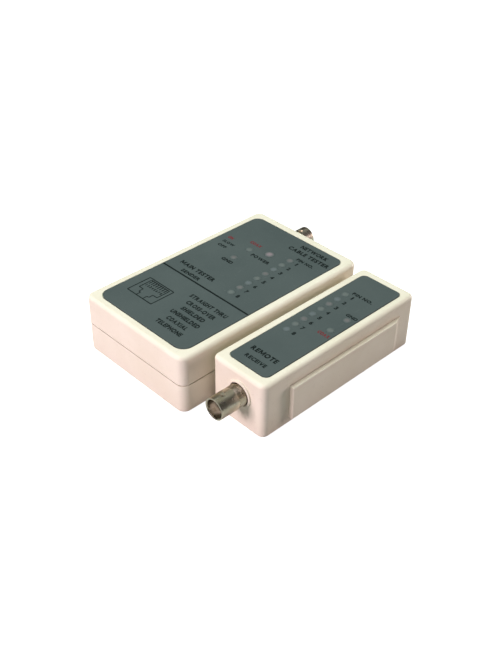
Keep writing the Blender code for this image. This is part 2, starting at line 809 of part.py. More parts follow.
def add_battery(frame):
    """The 9 V battery lying across the case, its snap cap and the two leads to the board."""
    low_x = BATTERY_X - BATTERY_LENGTH / 2
    high_x = BATTERY_X + BATTERY_LENGTH / 2
    half = BATTERY_WIDTH / 2
    low = (low_x, BATTERY_Y - half, BATTERY_LOW_Z)
    high = (high_x, BATTERY_Y + half, BATTERY_LOW_Z + BATTERY_HEIGHT)
    battery_mesh = rounded_block("main_battery", low, high, BATTERY_CORNER)
    battery = add_part("main_battery", battery_mesh, "battery_wrap", (0, 0, 0), frame)
    middle_z = BATTERY_LOW_Z + BATTERY_HEIGHT / 2
    studs = []
    wells = []
    for side, radius in zip((-1, 1), TERMINAL_RADII):
        y = BATTERY_Y + side * TERMINAL_SPACING / 2
        root = (high_x - 1.0, y, middle_z)
        studs.append((radius, root, (high_x + TERMINAL_REACH, y, middle_z)))
        wells.append((radius + GAP, root, (high_x + TERMINAL_REACH + GAP, y, middle_z)))
    join(battery, small_rods("battery_studs", studs, frame))

    cap_half_y, cap_half_z = SNAP_HALF_SIZE
    cap_low = (high_x + GAP, BATTERY_Y - cap_half_y, middle_z - cap_half_z)
    cap_high = (high_x + GAP + SNAP_THICKNESS, BATTERY_Y + cap_half_y, middle_z + cap_half_z)
    cap = add_box_part("main_battery_snap", cap_low, cap_high, "black_plastic", frame)
    cut(cap, small_rods("snap_wells", wells, frame))

    start_x = cap_high[0] + GAP + LEAD_RADIUS
    board_z = MAIN_BOARD_LOW - GAP
    for name, finish, start_y, end_x in (
        ("main_lead_red", "red_wire", BATTERY_Y + 8.0, 8.0),
        ("main_lead_black", "black_wire", BATTERY_Y + 5.0, 4.0),
    ):
        high_z = BATTERY_LOW_Z + BATTERY_HEIGHT + 1.5
        points = [
            (start_x, start_y, middle_z - 2.0),
            (start_x, start_y, high_z),
            (end_x + 4.0, BATTERY_Y + half + 2.0, high_z),
            (end_x, BATTERY_Y + half + 5.0, board_z - 3.0),
            (end_x, MAIN_BOARD_NEAR_Y + 3.0, board_z - 3.0),
            (end_x, MAIN_BOARD_NEAR_Y + 4.0, board_z),
        ]
        add_part(name, wire_mesh(name, LEAD_RADIUS, points), finish, (0, 0, 0), frame)


def add_battery_door(frame, bottom):
    """The dovetailed door on the underside, and the hole and slideway that it closes."""
    half_low = DOOR_WIDTH / 2
    half_high = half_low + DOVETAIL
    high_z = DOOR_LOW_Z + DOOR_THICKNESS
    left = -HALF_WIDTH + GAP
    slope = DOVETAIL / DOOR_THICKNESS
    door_frame = frame_at("battery_door_frame", 0, BATTERY_Y, 0)
    name = "main_battery_door"
    mesh = trapezoid_bar(name, left, DOOR_INNER_X, DOOR_LOW_Z, high_z, half_low, half_high)
    door = add_part(name, mesh, "case_plastic", (0, 0, 0), door_frame)
    grooves = []
    for index in range(GRIP_GROOVES):
        x = left + 5.0 + GRIP_PITCH * index
        groove_low = (x, -GRIP_HALF_LENGTH, -1.0)
        groove_high = (x + GRIP_WIDTH, GRIP_HALF_LENGTH, DOOR_LOW_Z + 0.5)
        grooves.append((groove_low, groove_high))
    cut(door, add_cutter("door_grooves", box_mesh("door_grooves", *grooves), (0, 0, 0), door_frame))

    way_low_z = -1.0
    way_high_z = high_z + GAP
    way_half_low = half_low + GAP - slope * (DOOR_LOW_Z - way_low_z)
    way_half_high = half_high + GAP + slope * GAP
    way_left = -HALF_WIDTH - 5.0
    way_right = DOOR_INNER_X + GAP
    way = trapezoid_bar("door_way", way_left, way_right, way_low_z, way_high_z, way_half_low, way_half_high)
    hole_half = BATTERY_WIDTH / 2 + GAP
    hole_left = BATTERY_X - BATTERY_LENGTH / 2 - GAP
    hole_right = BATTERY_X + BATTERY_LENGTH / 2 + SNAP_THICKNESS + 2 * GAP
    hole_low = (hole_left, BATTERY_Y - hole_half, 0.0)
    hole_high = (hole_right, BATTERY_Y + hole_half, FLOOR + 1.0)
    cut(bottom, add_cutter("door_way", way, (0, BATTERY_Y, 0), frame))
    cut(bottom, box_cutter("battery_hole", hole_low, hole_high, frame))


def add_switch(frame):
    """The slide switch behind the left wall, its knob, and the cutter of the slot in the wall."""
    depth, length, height = SWITCH_BODY
    left = INNER_LEFT + GAP
    low = (left, SWITCH_Y - length / 2, SWITCH_Z - height / 2)
    high = (left + depth, SWITCH_Y + length / 2, SWITCH_Z + height / 2)
    body = add_box_part("main_switch_body", low, high, "steel", frame)
    stem_half_y = 1.2
    stem_half_z = 1.0
    stem_in = 1.6
    track_half_y = SWITCH_TRAVEL + stem_half_y + GAP
    track_half_z = stem_half_z + GAP
    track_low = (left - 1.0, SWITCH_Y - track_half_y, SWITCH_Z - track_half_z)
    track_high = (left + stem_in + GAP, SWITCH_Y + track_half_y, SWITCH_Z + track_half_z)
    cut(body, box_cutter("switch_track", track_low, track_high, frame))

    reach, knob_length, knob_height = KNOB
    knob_frame = frame_at("power_knob_frame", -HALF_WIDTH, SWITCH_Y, SWITCH_Z)
    inner = INNER_LEFT - GAP + HALF_WIDTH
    stem_end = left + stem_in + HALF_WIDTH
    cap_low = (-reach, -knob_length / 2, -knob_height / 2)
    cap_high = (inner, knob_length / 2, knob_height / 2)
    knob = add_box_part("main_switch_knob", cap_low, cap_high, "black_plastic", knob_frame)
    stem_low = (inner - 1.0, -stem_half_y, -stem_half_z)
    stem_high = (stem_end, stem_half_y, stem_half_z)
    join(knob, box_cutter("knob_stem", stem_low, stem_high, knob_frame))
    slot_half_y = SWITCH_TRAVEL + knob_length / 2 + GAP
    slot_half_z = knob_height / 2 + GAP
    slot_low = (-5.0, -slot_half_y, -slot_half_z)
    slot_high = (inner + 1.0, slot_half_y, slot_half_z)
    slot = box_mesh("switch_slot", (slot_low, slot_high))
    return add_cutter("switch_slot", slot, (-HALF_WIDTH, SWITCH_Y, SWITCH_Z), frame)


def add_main_board(frame):
    """The circuit board, notched round the coaxial socket and holed for the far posts."""
    low = (INNER_LEFT + GAP + 0.2, MAIN_BOARD_NEAR_Y)
    high = (INNER_RIGHT - GAP - 0.2, INNER_FAR - GAP - 0.2)
    holes = [circle_outline(post, UPPER_POST_RADIUS + GAP) for post in MAIN_POSTS[2:]]
    notch_half = COAX_HOUSING / 2 + GAP
    notch_near = HALF_LENGTH - WALL - GAP - COAX_HOUSING_DEPTH - GAP
    board = add_part(
        "main_circuit_board",
        plate_mesh("main_circuit_board", rounded_outline(low, high, 0.8, 0.8), BOARD_THICKNESS, holes),
        "board",
        (0, 0, MAIN_BOARD_LOW + BOARD_THICKNESS / 2),
        frame,
    )
    notch_low = (MAIN_COAX_X - notch_half, notch_near, 0.0)
    notch_high = (MAIN_COAX_X + notch_half, HALF_LENGTH, MAIN_HEIGHT)
    cut(board, box_cutter("coax_notch", notch_low, notch_high, frame))


def add_controller_chip(frame):
    """The dual-in-line chip on the main board, its two rows of legs joined to its body."""
    chip_x, chip_y = CHIP_CENTRE
    width, length, thickness = CHIP_SIZE
    body_low = MAIN_BOARD_TOP + CHIP_ABOVE_BOARD
    low = (chip_x - width / 2, chip_y - length / 2, body_low)
    high = (chip_x + width / 2, chip_y + length / 2, body_low + thickness)
    chip = add_box_part("main_controller_chip", low, high, "black_plastic", frame)
    legs = []
    for side in (-1, 1):
        for index in range(CHIP_LEGS_A_SIDE):
            y = chip_y + (index - (CHIP_LEGS_A_SIDE - 1) / 2) * CHIP_LEG_PITCH
            edge = chip_x + side * width / 2
            low_x, high_x = sorted((edge - side * 0.5, edge + side * 0.5))
            legs.append(((low_x, y - 0.3, MAIN_BOARD_TOP + GAP), (high_x, y + 0.3, body_low + 1.5)))
    join(chip, add_cutter("chip_legs", box_mesh("chip_legs", *legs), (0, 0, 0), frame))


def add_main_unit():
    frame = frame_at("main_frame", 0, 0, 0)
    size = (MAIN_WIDTH, MAIN_LENGTH, MAIN_HEIGHT)
    recess = add_label("main", size, MAIN_LABEL_MARGINS, MAIN_LABEL_CORNERS, MAIN_LAMPS, frame)
    holes = add_lamps("main", MAIN_LAMPS, MAIN_LABEL_TOP, frame)
    collar, opening = add_coax_socket("main", (MAIN_COAX_X, HALF_LENGTH, MAIN_COAX_Z), 1, frame)
    jack_opening = add_jack("main", MAIN_JACK_X, HALF_LENGTH, MAIN_JACK_LOW, frame)
    slot = add_switch(frame)
    bottom = add_main_case(frame, collar, (opening, jack_opening), (recess, holes), slot)
    add_main_board(frame)
    add_controller_chip(frame)
    add_battery(frame)
    add_battery_door(frame, bottom)
    add_screws("main", MAIN_POSTS, frame)


# ---------------------------------------------------------------- remote unit

REMOTE_HALF_WIDTH = REMOTE_WIDTH / 2
REMOTE_HALF_LENGTH = REMOTE_LENGTH / 2
REMOTE_INNER_X = REMOTE_HALF_WIDTH - REMOTE_WALL
REMOTE_INNER_Y = REMOTE_HALF_LENGTH - REMOTE_WALL
REMOTE_LABEL_TOP = REMOTE_HEIGHT + LABEL_PROUD
REMOTE_BOARD_TOP = REMOTE_LABEL_TOP + LAMP_ABOVE_LABEL - BOARD_BELOW_LAMP_TOP
REMOTE_BOARD_LOW = REMOTE_BOARD_TOP - BOARD_THICKNESS
REMOTE_JACK_LOW = REMOTE_BOARD_LOW - GAP - JACK_HEIGHT
REMOTE_LAMPS = lamp_places(
    REMOTE_ROW_X,
    REMOTE_ROW_FAR_Y,
    (("led_gnd", REMOTE_GROUND_LAMP, LAMP_RADIUS), ("led_coax", REMOTE_COAX_LAMP, LAMP_RADIUS)),
)


def add_remote_case(frame, collar, openings, top_cutters):
    """A one-piece shell open below, with the raised rail along its right side."""
    low = (-REMOTE_HALF_WIDTH, -REMOTE_HALF_LENGTH, 0)
    high = (REMOTE_HALF_WIDTH, REMOTE_HALF_LENGTH, REMOTE_HEIGHT)
    mesh = rounded_block("remote_case", low, high, REMOTE_CORNER, TOP_EDGE, BOTTOM_EDGE)
    case = add_part("remote_case", mesh, "case_plastic", (0, 0, 0), frame)
    rail_near = -REMOTE_HALF_LENGTH + RAIL_NEAR_INSET
    rail_low = (REMOTE_HALF_WIDTH - 1.0, rail_near, RAIL_LOW_Z)
    rail_high = (REMOTE_HALF_WIDTH + RAIL_DEPTH, rail_near + RAIL_LENGTH, RAIL_HIGH_Z)
    rail = rounded_block("rail", rail_low, rail_high, RAIL_CORNER, RAIL_EDGE, RAIL_EDGE)
    inner_low = (-REMOTE_INNER_X, -REMOTE_INNER_Y, -1.0)
    inner_high = (REMOTE_INNER_X, REMOTE_INNER_Y, REMOTE_HEIGHT - REMOTE_ROOF)
    hollow = rounded_block("remote_hollow", inner_low, inner_high, REMOTE_CORNER - REMOTE_WALL)
    post_low = GAP + COVER_THICKNESS + BOSS_RISE
    post_high = REMOTE_HEIGHT - REMOTE_ROOF + 1.0
    posts = [(REMOTE_POST_RADIUS, (x, y, post_low), (x, y, post_high)) for x, y in REMOTE_POSTS]
    join(case, add_cutter("rail", rail, (0, 0, 0), frame), collar)
    cut(case, add_cutter("remote_hollow", hollow, (0, 0, 0), frame))
    join(case, small_rods("remote_posts", posts, frame))
    heads, shafts = screw_way("remote_screw_way", REMOTE_POSTS, frame)
    cut(case, shafts, *openings, *top_cutters)

    corner = REMOTE_CORNER - REMOTE_WALL - GAP
    cover_low = (-REMOTE_INNER_X + GAP, -REMOTE_INNER_Y + GAP, GAP)
    cover_high = (REMOTE_INNER_X - GAP, REMOTE_INNER_Y - GAP, GAP + COVER_THICKNESS)
    name = "remote_bottom_cover"
    cover_mesh = rounded_block(name, cover_low, cover_high, corner)
    cover = add_part(name, cover_mesh, "case_plastic", (0, 0, 0), frame)
    bosses = [(BOSS_RADIUS, (x, y, 1.0), (x, y, post_low - GAP)) for x, y in REMOTE_POSTS]
    join(cover, small_rods("cover_bosses", bosses, frame))
    cut(cover, heads, shafts)


def add_remote_board(frame):
    near = -REMOTE_HALF_LENGTH + WALL + GAP + COAX_HOUSING_DEPTH + GAP
    low = (-REMOTE_INNER_X + 0.5, near)
    high = (REMOTE_INNER_X - 0.5, REMOTE_INNER_Y - 0.5)
    holes = [circle_outline(REMOTE_POSTS[1], REMOTE_POST_RADIUS + GAP)]
    name = "remote_circuit_board"
    mesh = plate_mesh(name, rounded_outline(low, high, 0.6, 0.6), BOARD_THICKNESS, holes)
    add_part(name, mesh, "board", (0, 0, REMOTE_BOARD_LOW + BOARD_THICKNESS / 2), frame)


def add_remote_unit():
    frame = frame_at("remote_frame", REMOTE_X, REMOTE_Y, 0)
    size = (REMOTE_WIDTH, REMOTE_LENGTH, REMOTE_HEIGHT)
    recess = add_label("remote", size, REMOTE_LABEL_MARGINS, REMOTE_LABEL_CORNERS, REMOTE_LAMPS, frame)
    holes = add_lamps("remote", REMOTE_LAMPS, REMOTE_LABEL_TOP, frame)
    socket_place = (REMOTE_COAX_X, -REMOTE_HALF_LENGTH, REMOTE_COAX_Z)
    collar, opening = add_coax_socket("remote", socket_place, -1, frame)
    jack_opening = add_jack("remote", 0.0, REMOTE_HALF_LENGTH, REMOTE_JACK_LOW, frame)
    add_remote_case(frame, collar, (opening, jack_opening), (recess, holes))
    add_remote_board(frame)
    add_screws("remote", REMOTE_POSTS, frame)


add_main_unit()
add_remote_unit()
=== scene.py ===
"""Looks of the network cable tester: fine casings, overlays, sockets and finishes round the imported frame.

Lengths are written in millimetres times MM, and everything is placed from the frame's own boxes.
"""

import json
import math

import bmesh
import bpy
from mathutils import Matrix, Vector


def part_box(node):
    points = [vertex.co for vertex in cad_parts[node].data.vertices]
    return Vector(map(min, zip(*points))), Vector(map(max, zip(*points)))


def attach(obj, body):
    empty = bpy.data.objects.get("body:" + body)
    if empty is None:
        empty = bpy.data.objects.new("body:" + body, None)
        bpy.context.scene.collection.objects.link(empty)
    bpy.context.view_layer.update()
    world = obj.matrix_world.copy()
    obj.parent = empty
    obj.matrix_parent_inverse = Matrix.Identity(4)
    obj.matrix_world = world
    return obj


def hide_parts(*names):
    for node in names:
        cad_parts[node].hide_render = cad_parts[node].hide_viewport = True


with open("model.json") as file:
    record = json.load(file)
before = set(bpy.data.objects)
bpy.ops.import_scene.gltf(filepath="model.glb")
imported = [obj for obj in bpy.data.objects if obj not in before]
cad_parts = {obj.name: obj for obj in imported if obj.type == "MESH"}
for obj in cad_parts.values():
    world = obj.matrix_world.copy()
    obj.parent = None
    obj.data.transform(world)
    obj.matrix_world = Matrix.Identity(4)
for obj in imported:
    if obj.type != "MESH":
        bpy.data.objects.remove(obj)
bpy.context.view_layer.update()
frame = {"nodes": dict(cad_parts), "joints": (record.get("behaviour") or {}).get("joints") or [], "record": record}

MM = 0.001
GAP = 0.3 * MM
SHARP = math.radians(32)
EASED_FROM = math.radians(40)  # edges sharper than this are eased
FAR_OUT = 0.2  # well past the casings on every side

# Casings
WALL = 2.2 * MM
ROOF = 2.4 * MM
FLOOR = 3.0 * MM
TOP_EDGE = 1.8 * MM
BOTTOM_EDGE = 1.0 * MM
MAIN_CORNER = 3.8 * MM
PARTING_Z = 13.7 * MM
PARTING_GAP = 0.45 * MM
LIP_THICKNESS = 0.9 * MM
LIP_HEIGHT = 1.2 * MM
CHANNEL_DEPTH = 2.5 * MM
CHANNEL_NEAR_Y = -27.6 * MM
CHANNEL_LOW_Z = 3.1 * MM
CHANNEL_HIGH_Z = 20.9 * MM
DOOR_LEAN = 0.9 * MM  # how far each side of the battery door leans in over its thickness
DOOR_THICKNESS = 1.4 * MM
DOOR_SLOPE = DOOR_LEAN / DOOR_THICKNESS
REMOTE_WALL = 2.0 * MM
REMOTE_ROOF = 2.3 * MM
REMOTE_CORNER = 3.0 * MM
COVER_THICKNESS = 2.0 * MM
RAIL_NEAR_INSET = 14.2 * MM
RAIL_LENGTH = 67.5 * MM
RAIL_LOW_Z = 3.3 * MM
RAIL_HIGH_Z = 19.1 * MM
RAIL_FAR_SLOPE = 5.0 * MM
RAIL_EDGE = 0.45 * MM
RAIL_ROOT = 0.2 * MM  # how far the rail starts inside the wall
EASED = 0.12 * MM  # how far the edges of the cases' openings are eased
MOULDED_EDGE = 0.15 * MM  # the same on the small mouldings

# Screws
HEAD_RADIUS = 2.3 * MM
HEAD_HEIGHT = 1.6 * MM
SHAFT_RADIUS = 1.2 * MM
UPPER_POST_RADIUS = 2.9 * MM
LOWER_POST_RADIUS = 3.75 * MM
REMOTE_POST_RADIUS = 2.7 * MM
BOSS_RADIUS = 2.85 * MM

# Coaxial socket
COAX_RADIUS = 4.8 * MM
COAX_BORE = 4.05 * MM
COAX_INSIDE = 3.5 * MM  # how far the barrel runs in behind the wall
CONTACT_RADIUS = 0.9 * MM
COLLAR_RADIUS = 6.1 * MM
COLLAR_HEIGHT = 0.8 * MM
LUG_RADIUS = 1.0 * MM

# Lamps
LAMP_FLANGE = 0.4 * MM  # how far the flange stands out past the lens
LENS_FIT = 0.25 * MM  # how far a lens fills the gap round it
LEG_LENGTH = 1.5 * MM
ROW = [f"led_{number}" for number in range(1, 9)]
MAIN_LAMPS = ROW + ["led_power", "led_gnd", "led_coax"]
REMOTE_LAMPS = ROW + ["led_gnd", "led_coax"]

# Overlays: near and far corner radius, and the print's own sizes
MAIN_LABEL_CORNERS = (4.9 * MM, 3.4 * MM)
REMOTE_LABEL_CORNERS = (2.4 * MM, 2.4 * MM)
PRINT_HEIGHT = 0.03 * MM
GLYPH_HALF_THICKNESS = 0.02
CAP_HEIGHT = 0.72  # of the built-in font's capitals
LETTER_SPACE = 0.10
WORD_SPACE = 0.34
DIGIT_WIDTH = 1.45
DIGIT_HEIGHT = 2.0


# ---------------------------------------------------------------- shader helpers


def connect(tree, socket, value):
    """Links a socket, or sets it to a number, a vector or a colour."""
    if isinstance(value, bpy.types.NodeSocket):
        tree.links.new(value, socket)
    elif socket.type == "RGBA":
        socket.default_value = (*value, 1.0)
    else:
        socket.default_value = value


def add_node(tree, kind, inputs=None, **options):
    """A shader node with its options set and its inputs set or linked."""
    made = tree.nodes.new(kind)
    for option, value in options.items():
        setattr(made, option, value)
    for name, value in (inputs or {}).items():
        connect(tree, made.inputs[name], value)
    return made


def noise(tree, scale, detail=3.0, stretch=(1, 1, 1), distortion=0.0):
    """A noise value over the piece's own coordinates; scale is in cells a metre."""
    place = add_node(tree, "ShaderNodeTexCoord").outputs["Object"]
    spread = add_node(tree, "ShaderNodeMapping", {"Vector": place, "Scale": stretch}).outputs["Vector"]
    inputs = {"Vector": spread, "Scale": scale, "Detail": detail, "Distortion": distortion}
    return add_node(tree, "ShaderNodeTexNoise", inputs).outputs["Fac"]


def remap(tree, value, low, high, to_low=0.0, to_high=1.0):
    inputs = {"Value": value, "From Min": low, "From Max": high, "To Min": to_low, "To Max": to_high}
    return add_node(tree, "ShaderNodeMapRange", inputs).outputs["Result"]


def patchy(tree, scale, to_low=0.0, to_high=1.0, low=0.3, high=0.7, **options):
    """A noise whose values between low and high are spread over the wanted range."""
    return remap(tree, noise(tree, scale, **options), low, high, to_low, to_high)


def blend_colours(tree, factor, first, second):
    """Mixes two colours, each a tuple or a socket."""
    return add_node(tree, "ShaderNodeMix", {0: factor, 6: first, 7: second}, data_type="RGBA").outputs[2]


def math_node(tree, operation, first, second):
    return add_node(tree, "ShaderNodeMath", {0: first, 1: second}, operation=operation).outputs[0]


def bump(tree, height, distance, strength, **under):
    """A bumped normal, over the normal given as Normal if there is one."""
    inputs = {"Height": height, "Distance": distance, "Strength": strength, **under}
    return add_node(tree, "ShaderNodeBump", inputs).outputs["Normal"]


def crevices(tree, distance):
    """The mask for painted shade: 1 in corners and gaps, where ambient occlusion finds little open sky, 0 on open
    faces.
    """
    open_sky = add_node(tree, "ShaderNodeAmbientOcclusion", {"Distance": distance}, samples=8)
    return remap(tree, open_sky.outputs["AO"], 0.10, 0.50, 1.0, 0.0)


def worn_edges(tree):
    """1 on outer edges, where a surface is lightened: by handling wear, and on moulded plastic also as a painted
    highlight.
    """
    return remap(tree, add_node(tree, "ShaderNodeNewGeometry").outputs["Pointiness"], 0.51, 0.58)


def new_material(name):
    material = bpy.data.materials.new(name)
    material.use_nodes = True
    tree = material.node_tree
    return material, tree, tree.nodes["Principled BSDF"]


def feed(tree, shader, **sockets):
    """Links or sets the shader's inputs; underscores stand for spaces."""
    for name, value in sockets.items():
        connect(tree, shader.inputs[name.replace("_", " ")], value)


def toned(colour, times):
    """A colour made lighter or darker, and held to 1."""
    return tuple(min(1.0, part * times) for part in colour)


# ---------------------------------------------------------------- materials


def moulded_plastic(name, light, dark, grime_and_shade, roughness=0.42):
    """Moulded ABS: mottled colour, fine spark texture, edges lightened partly as polish wear and partly as a
    painted highlight, and painted shade in the gaps.
    """
    material, tree, shader = new_material(name)
    body = blend_colours(tree, patchy(tree, 55.0, low=0.35, high=0.65, detail=4.0), light, dark)
    speck = patchy(tree, 900.0, 0.0, 0.10, 0.62, 0.78, detail=2.0)
    body = blend_colours(tree, speck, body, grime_and_shade)
    # Edges lightened: partly polish wear, partly a painted highlight where the edges catch the light.
    edge_wear_and_highlight = math_node(tree, "MULTIPLY", worn_edges(tree), 0.35)
    body = blend_colours(tree, edge_wear_and_highlight, body, toned(light, 1.12))
    # Painted shade: the grime colour is laid into corners and gaps where ambient occlusion finds them shaded.
    painted_shade = math_node(tree, "MULTIPLY", crevices(tree, 1.6 * MM), patchy(tree, 260.0, 0.25, 0.6))
    body = blend_colours(tree, painted_shade, body, grime_and_shade)
    rough = patchy(tree, 140.0, roughness - 0.06, roughness + 0.08, detail=5.0, stretch=(1, 0.35, 1))
    waves = bump(tree, noise(tree, 70.0, 1.0), 0.06 * MM, 0.35)
    fine = bump(tree, noise(tree, 3600.0, 2.0), 0.018 * MM, 0.55, Normal=waves)
    feed(tree, shader, Base_Color=body, Roughness=rough, Normal=fine, Specular_IOR_Level=0.45)
    return material


def overlay_film(name, light, dark):
    """Matt printed polyester film: soft mottling, velvet grain, hair scratches and smudges."""
    material, tree, shader = new_material(name)
    body = blend_colours(tree, patchy(tree, 38.0, detail=4.0), light, dark)
    dust = patchy(tree, 1500.0, 0.0, 0.22, 0.66, 0.80, detail=2.0)
    body = blend_colours(tree, dust, body, (0.30, 0.32, 0.31))
    scratch = patchy(tree, 300.0, 0.0, 0.16, 0.70, 0.76, stretch=(9.0, 0.35, 1.0), distortion=0.4)
    body = blend_colours(tree, scratch, body, (0.28, 0.31, 0.30))
    smudge = patchy(tree, 65.0, 0.44, 0.58, 0.35, detail=5.0, distortion=0.8)
    grain = bump(tree, noise(tree, 5200.0, 2.0), 0.012 * MM, 0.5)
    feed(tree, shader, Base_Color=body, Roughness=smudge, Normal=grain, Specular_IOR_Level=0.35)
    return material


def ink(name, colour):
    """Screen-printed ink: slightly uneven cover with a dry, toothy surface."""
    material, tree, shader = new_material(name)
    thin = patchy(tree, 1800.0, 0.0, 0.12, 0.55, 0.75)
    body = blend_colours(tree, thin, colour, (0.07, 0.085, 0.085))
    rough = patchy(tree, 700.0, 0.42, 0.62)
    tooth = bump(tree, noise(tree, 4200.0), 0.008 * MM, 0.5)
    feed(tree, shader, Base_Color=body, Roughness=rough, Normal=tooth, Specular_IOR_Level=0.2)
    return material


def frosted_lens(name, tint):
    """A diffused lamp lens, unlit, with painted light: palest in the middle, fading to the overlay's tone at its
    rim.
    """
    material, tree, shader = new_material(name)
    place = add_node(tree, "ShaderNodeTexCoord").outputs["Generated"]
    shift = {"Vector": place, "Location": (-0.5, -0.5, 0.0)}
    centred = add_node(tree, "ShaderNodeMapping", shift).outputs[0]
    level = {0: centred, 1: (1, 1, 0)}
    flat = add_node(tree, "ShaderNodeVectorMath", level, operation="MULTIPLY").outputs[0]
    reach = add_node(tree, "ShaderNodeVectorMath", {0: flat}, operation="LENGTH").outputs["Value"]
    swirl = patchy(tree, 420.0, distortion=1.0)
    body = blend_colours(tree, swirl, tint, toned(tint, 0.9))
    # Painted light: the pale middle stands for light scattered in the frosted lens, fading out towards the rim.
    body = blend_colours(tree, remap(tree, reach, 0.16, 0.40), body, (0.085, 0.108, 0.106))
    rough = patchy(tree, 900.0, 0.42, 0.55)
    skin = bump(tree, noise(tree, 1600.0), 0.008 * MM, 0.4)
    feed(tree, shader, Base_Color=body, Roughness=rough, Normal=skin, Specular_IOR_Level=0.35)
    return material


def plated_metal(name, bright, dull, roughness, streaks=1.0):
    """Plated metal: tarnish clouds, edges worn bright, fine marks in streaks where it was turned, and painted
    shade in its hollows.
    """
    material, tree, shader = new_material(name)
    cloud = patchy(tree, 240.0, low=0.35, detail=5.0, distortion=0.6)
    body = blend_colours(tree, cloud, bright, dull)
    edge_wear_and_highlight = math_node(tree, "MULTIPLY", worn_edges(tree), 0.5)
    body = blend_colours(tree, edge_wear_and_highlight, body, toned(bright, 1.15))
    # Painted shade: a darkened copy of the dull colour laid into hollows where ambient occlusion finds them
    # shaded.
    painted_hollow_shade = math_node(tree, "MULTIPLY", crevices(tree, 1.2 * MM), 0.45)
    body = blend_colours(tree, painted_hollow_shade, body, toned(dull, 0.35))
    rough = patchy(tree, 480.0, roughness, roughness + 0.16, high=0.75, detail=4.0)
    skin = bump(tree, noise(tree, 1500.0, 2.0, (1.0, streaks, 1.0)), 0.006 * MM, 0.45)
    feed(tree, shader, Base_Color=body, Roughness=rough, Metallic=1.0, Normal=skin)
    return material


def waxy_insulator(name):
    material, tree, shader = new_material(name)
    body = blend_colours(tree, noise(tree, 300.0), (0.84, 0.83, 0.79), (0.72, 0.70, 0.64))
    # Painted shade: a dark brown laid into corners and gaps where ambient occlusion finds them shaded, as deep
    # inside the socket.
    painted_shade = math_node(tree, "MULTIPLY", crevices(tree, 1.0 * MM), 0.5)
    body = blend_colours(tree, painted_shade, body, (0.20, 0.17, 0.13))
    skin = bump(tree, noise(tree, 1400.0), 0.01 * MM, 0.4)
    feed(tree, shader, Base_Color=body, Roughness=patchy(tree, 500.0, 0.36, 0.5), Normal=skin)
    return material


def circuit_board(name):
    """Solder mask over copper tracks, with the tracks raised and lighter than the bare board."""
    material, tree, shader = new_material(name)
    place = add_node(tree, "ShaderNodeTexCoord").outputs["Object"]
    cells = add_node(tree, "ShaderNodeTexBrick", {"Vector": place, "Scale": 210.0, "Mortar Size": 0.08})
    track = cells.outputs["Fac"]
    body = blend_colours(tree, track, (0.012, 0.085, 0.035), (0.035, 0.17, 0.07))
    body = blend_colours(tree, patchy(tree, 90.0, 0.0, 0.3), body, (0.01, 0.06, 0.03))
    skin = bump(tree, track, 0.03 * MM, 0.6)
    feed(tree, shader, Base_Color=body, Roughness=patchy(tree, 300.0, 0.25, 0.42), Normal=skin)
    return material


def battery_jacket(name):
    """A printed steel jacket: dark body with a lighter band, scuffed at its edges."""
    material, tree, shader = new_material(name)
    place = add_node(tree, "ShaderNodeTexCoord").outputs["Object"]
    along = add_node(tree, "ShaderNodeSeparateXYZ", {"Vector": place}).outputs["X"]
    band = math_node(tree, "GREATER_THAN", along, 4.0 * MM)
    body = blend_colours(tree, band, (0.03, 0.04, 0.09), (0.55, 0.33, 0.12))
    scuff = math_node(tree, "MULTIPLY", worn_edges(tree), patchy(tree, 500.0, low=0.4, high=0.6))
    body = blend_colours(tree, scuff, body, (0.5, 0.5, 0.5))
    skin = bump(tree, noise(tree, 900.0), 0.01 * MM, 0.4)
    rough = patchy(tree, 400.0, 0.24, 0.4)
    feed(tree, shader, Base_Color=body, Roughness=rough, Metallic=0.3, Normal=skin)
    return material


IVORY = moulded_plastic("ivory_case", (0.86, 0.79, 0.665), (0.81, 0.735, 0.60), (0.20, 0.13, 0.085))
BLACK = moulded_plastic(
    "black_mouldings", (0.022, 0.022, 0.023), (0.015, 0.015, 0.016), (0.06, 0.055, 0.05), 0.38
)
FILM = overlay_film("overlay_film", (0.083, 0.103, 0.102), (0.070, 0.089, 0.089))
DARK_INK = ink("dark_ink", (0.004, 0.008, 0.0075))
RED_INK = ink("red_ink", (0.20, 0.018, 0.024))
NICKEL = plated_metal("nickel_plate", (0.70, 0.65, 0.53), (0.54, 0.46, 0.31), 0.24, streaks=6.0)
GOLD = plated_metal("gold_plate", (0.86, 0.62, 0.27), (0.66, 0.44, 0.17), 0.22)
STEEL = plated_metal("zinc_plated_steel", (0.62, 0.62, 0.61), (0.45, 0.45, 0.46), 0.3)
INSULATOR = waxy_insulator("waxy_insulator")
BOARD = circuit_board("solder_mask")
JACKET = battery_jacket("battery_jacket")
RED_WIRE = moulded_plastic("red_wire", (0.45, 0.02, 0.02), (0.36, 0.015, 0.015), (0.1, 0.01, 0.01), 0.36)
BLACK_WIRE = moulded_plastic(
    "black_wire", (0.018, 0.018, 0.018), (0.01, 0.01, 0.01), (0.05, 0.05, 0.05), 0.36
)
LENSES = [
    frosted_lens("lens_clear", (0.140, 0.158, 0.153)),
    frosted_lens("lens_pink", (0.154, 0.150, 0.151)),
    frosted_lens("lens_blue", (0.133, 0.155, 0.163)),
]
POWER_LENS = frosted_lens("lens_power", (0.25, 0.205, 0.222))


# ---------------------------------------------------------------- mesh helpers


def object_from(name, mesh):
    obj = bpy.data.objects.new(name, mesh)
    bpy.context.scene.collection.objects.link(obj)
    return obj


def mesh_from(name, bm):
    mesh = bpy.data.meshes.new(name)
    bm.to_mesh(mesh)
    bm.free()
    return mesh


def settled(obj):
    """The object's mesh with its modifiers applied; the object itself is removed."""
    bpy.context.view_layer.update()
    mesh = bpy.data.meshes.new_from_object(obj.evaluated_get(bpy.context.evaluated_depsgraph_get()))
    bpy.data.objects.remove(obj, do_unlink=True)
    return mesh


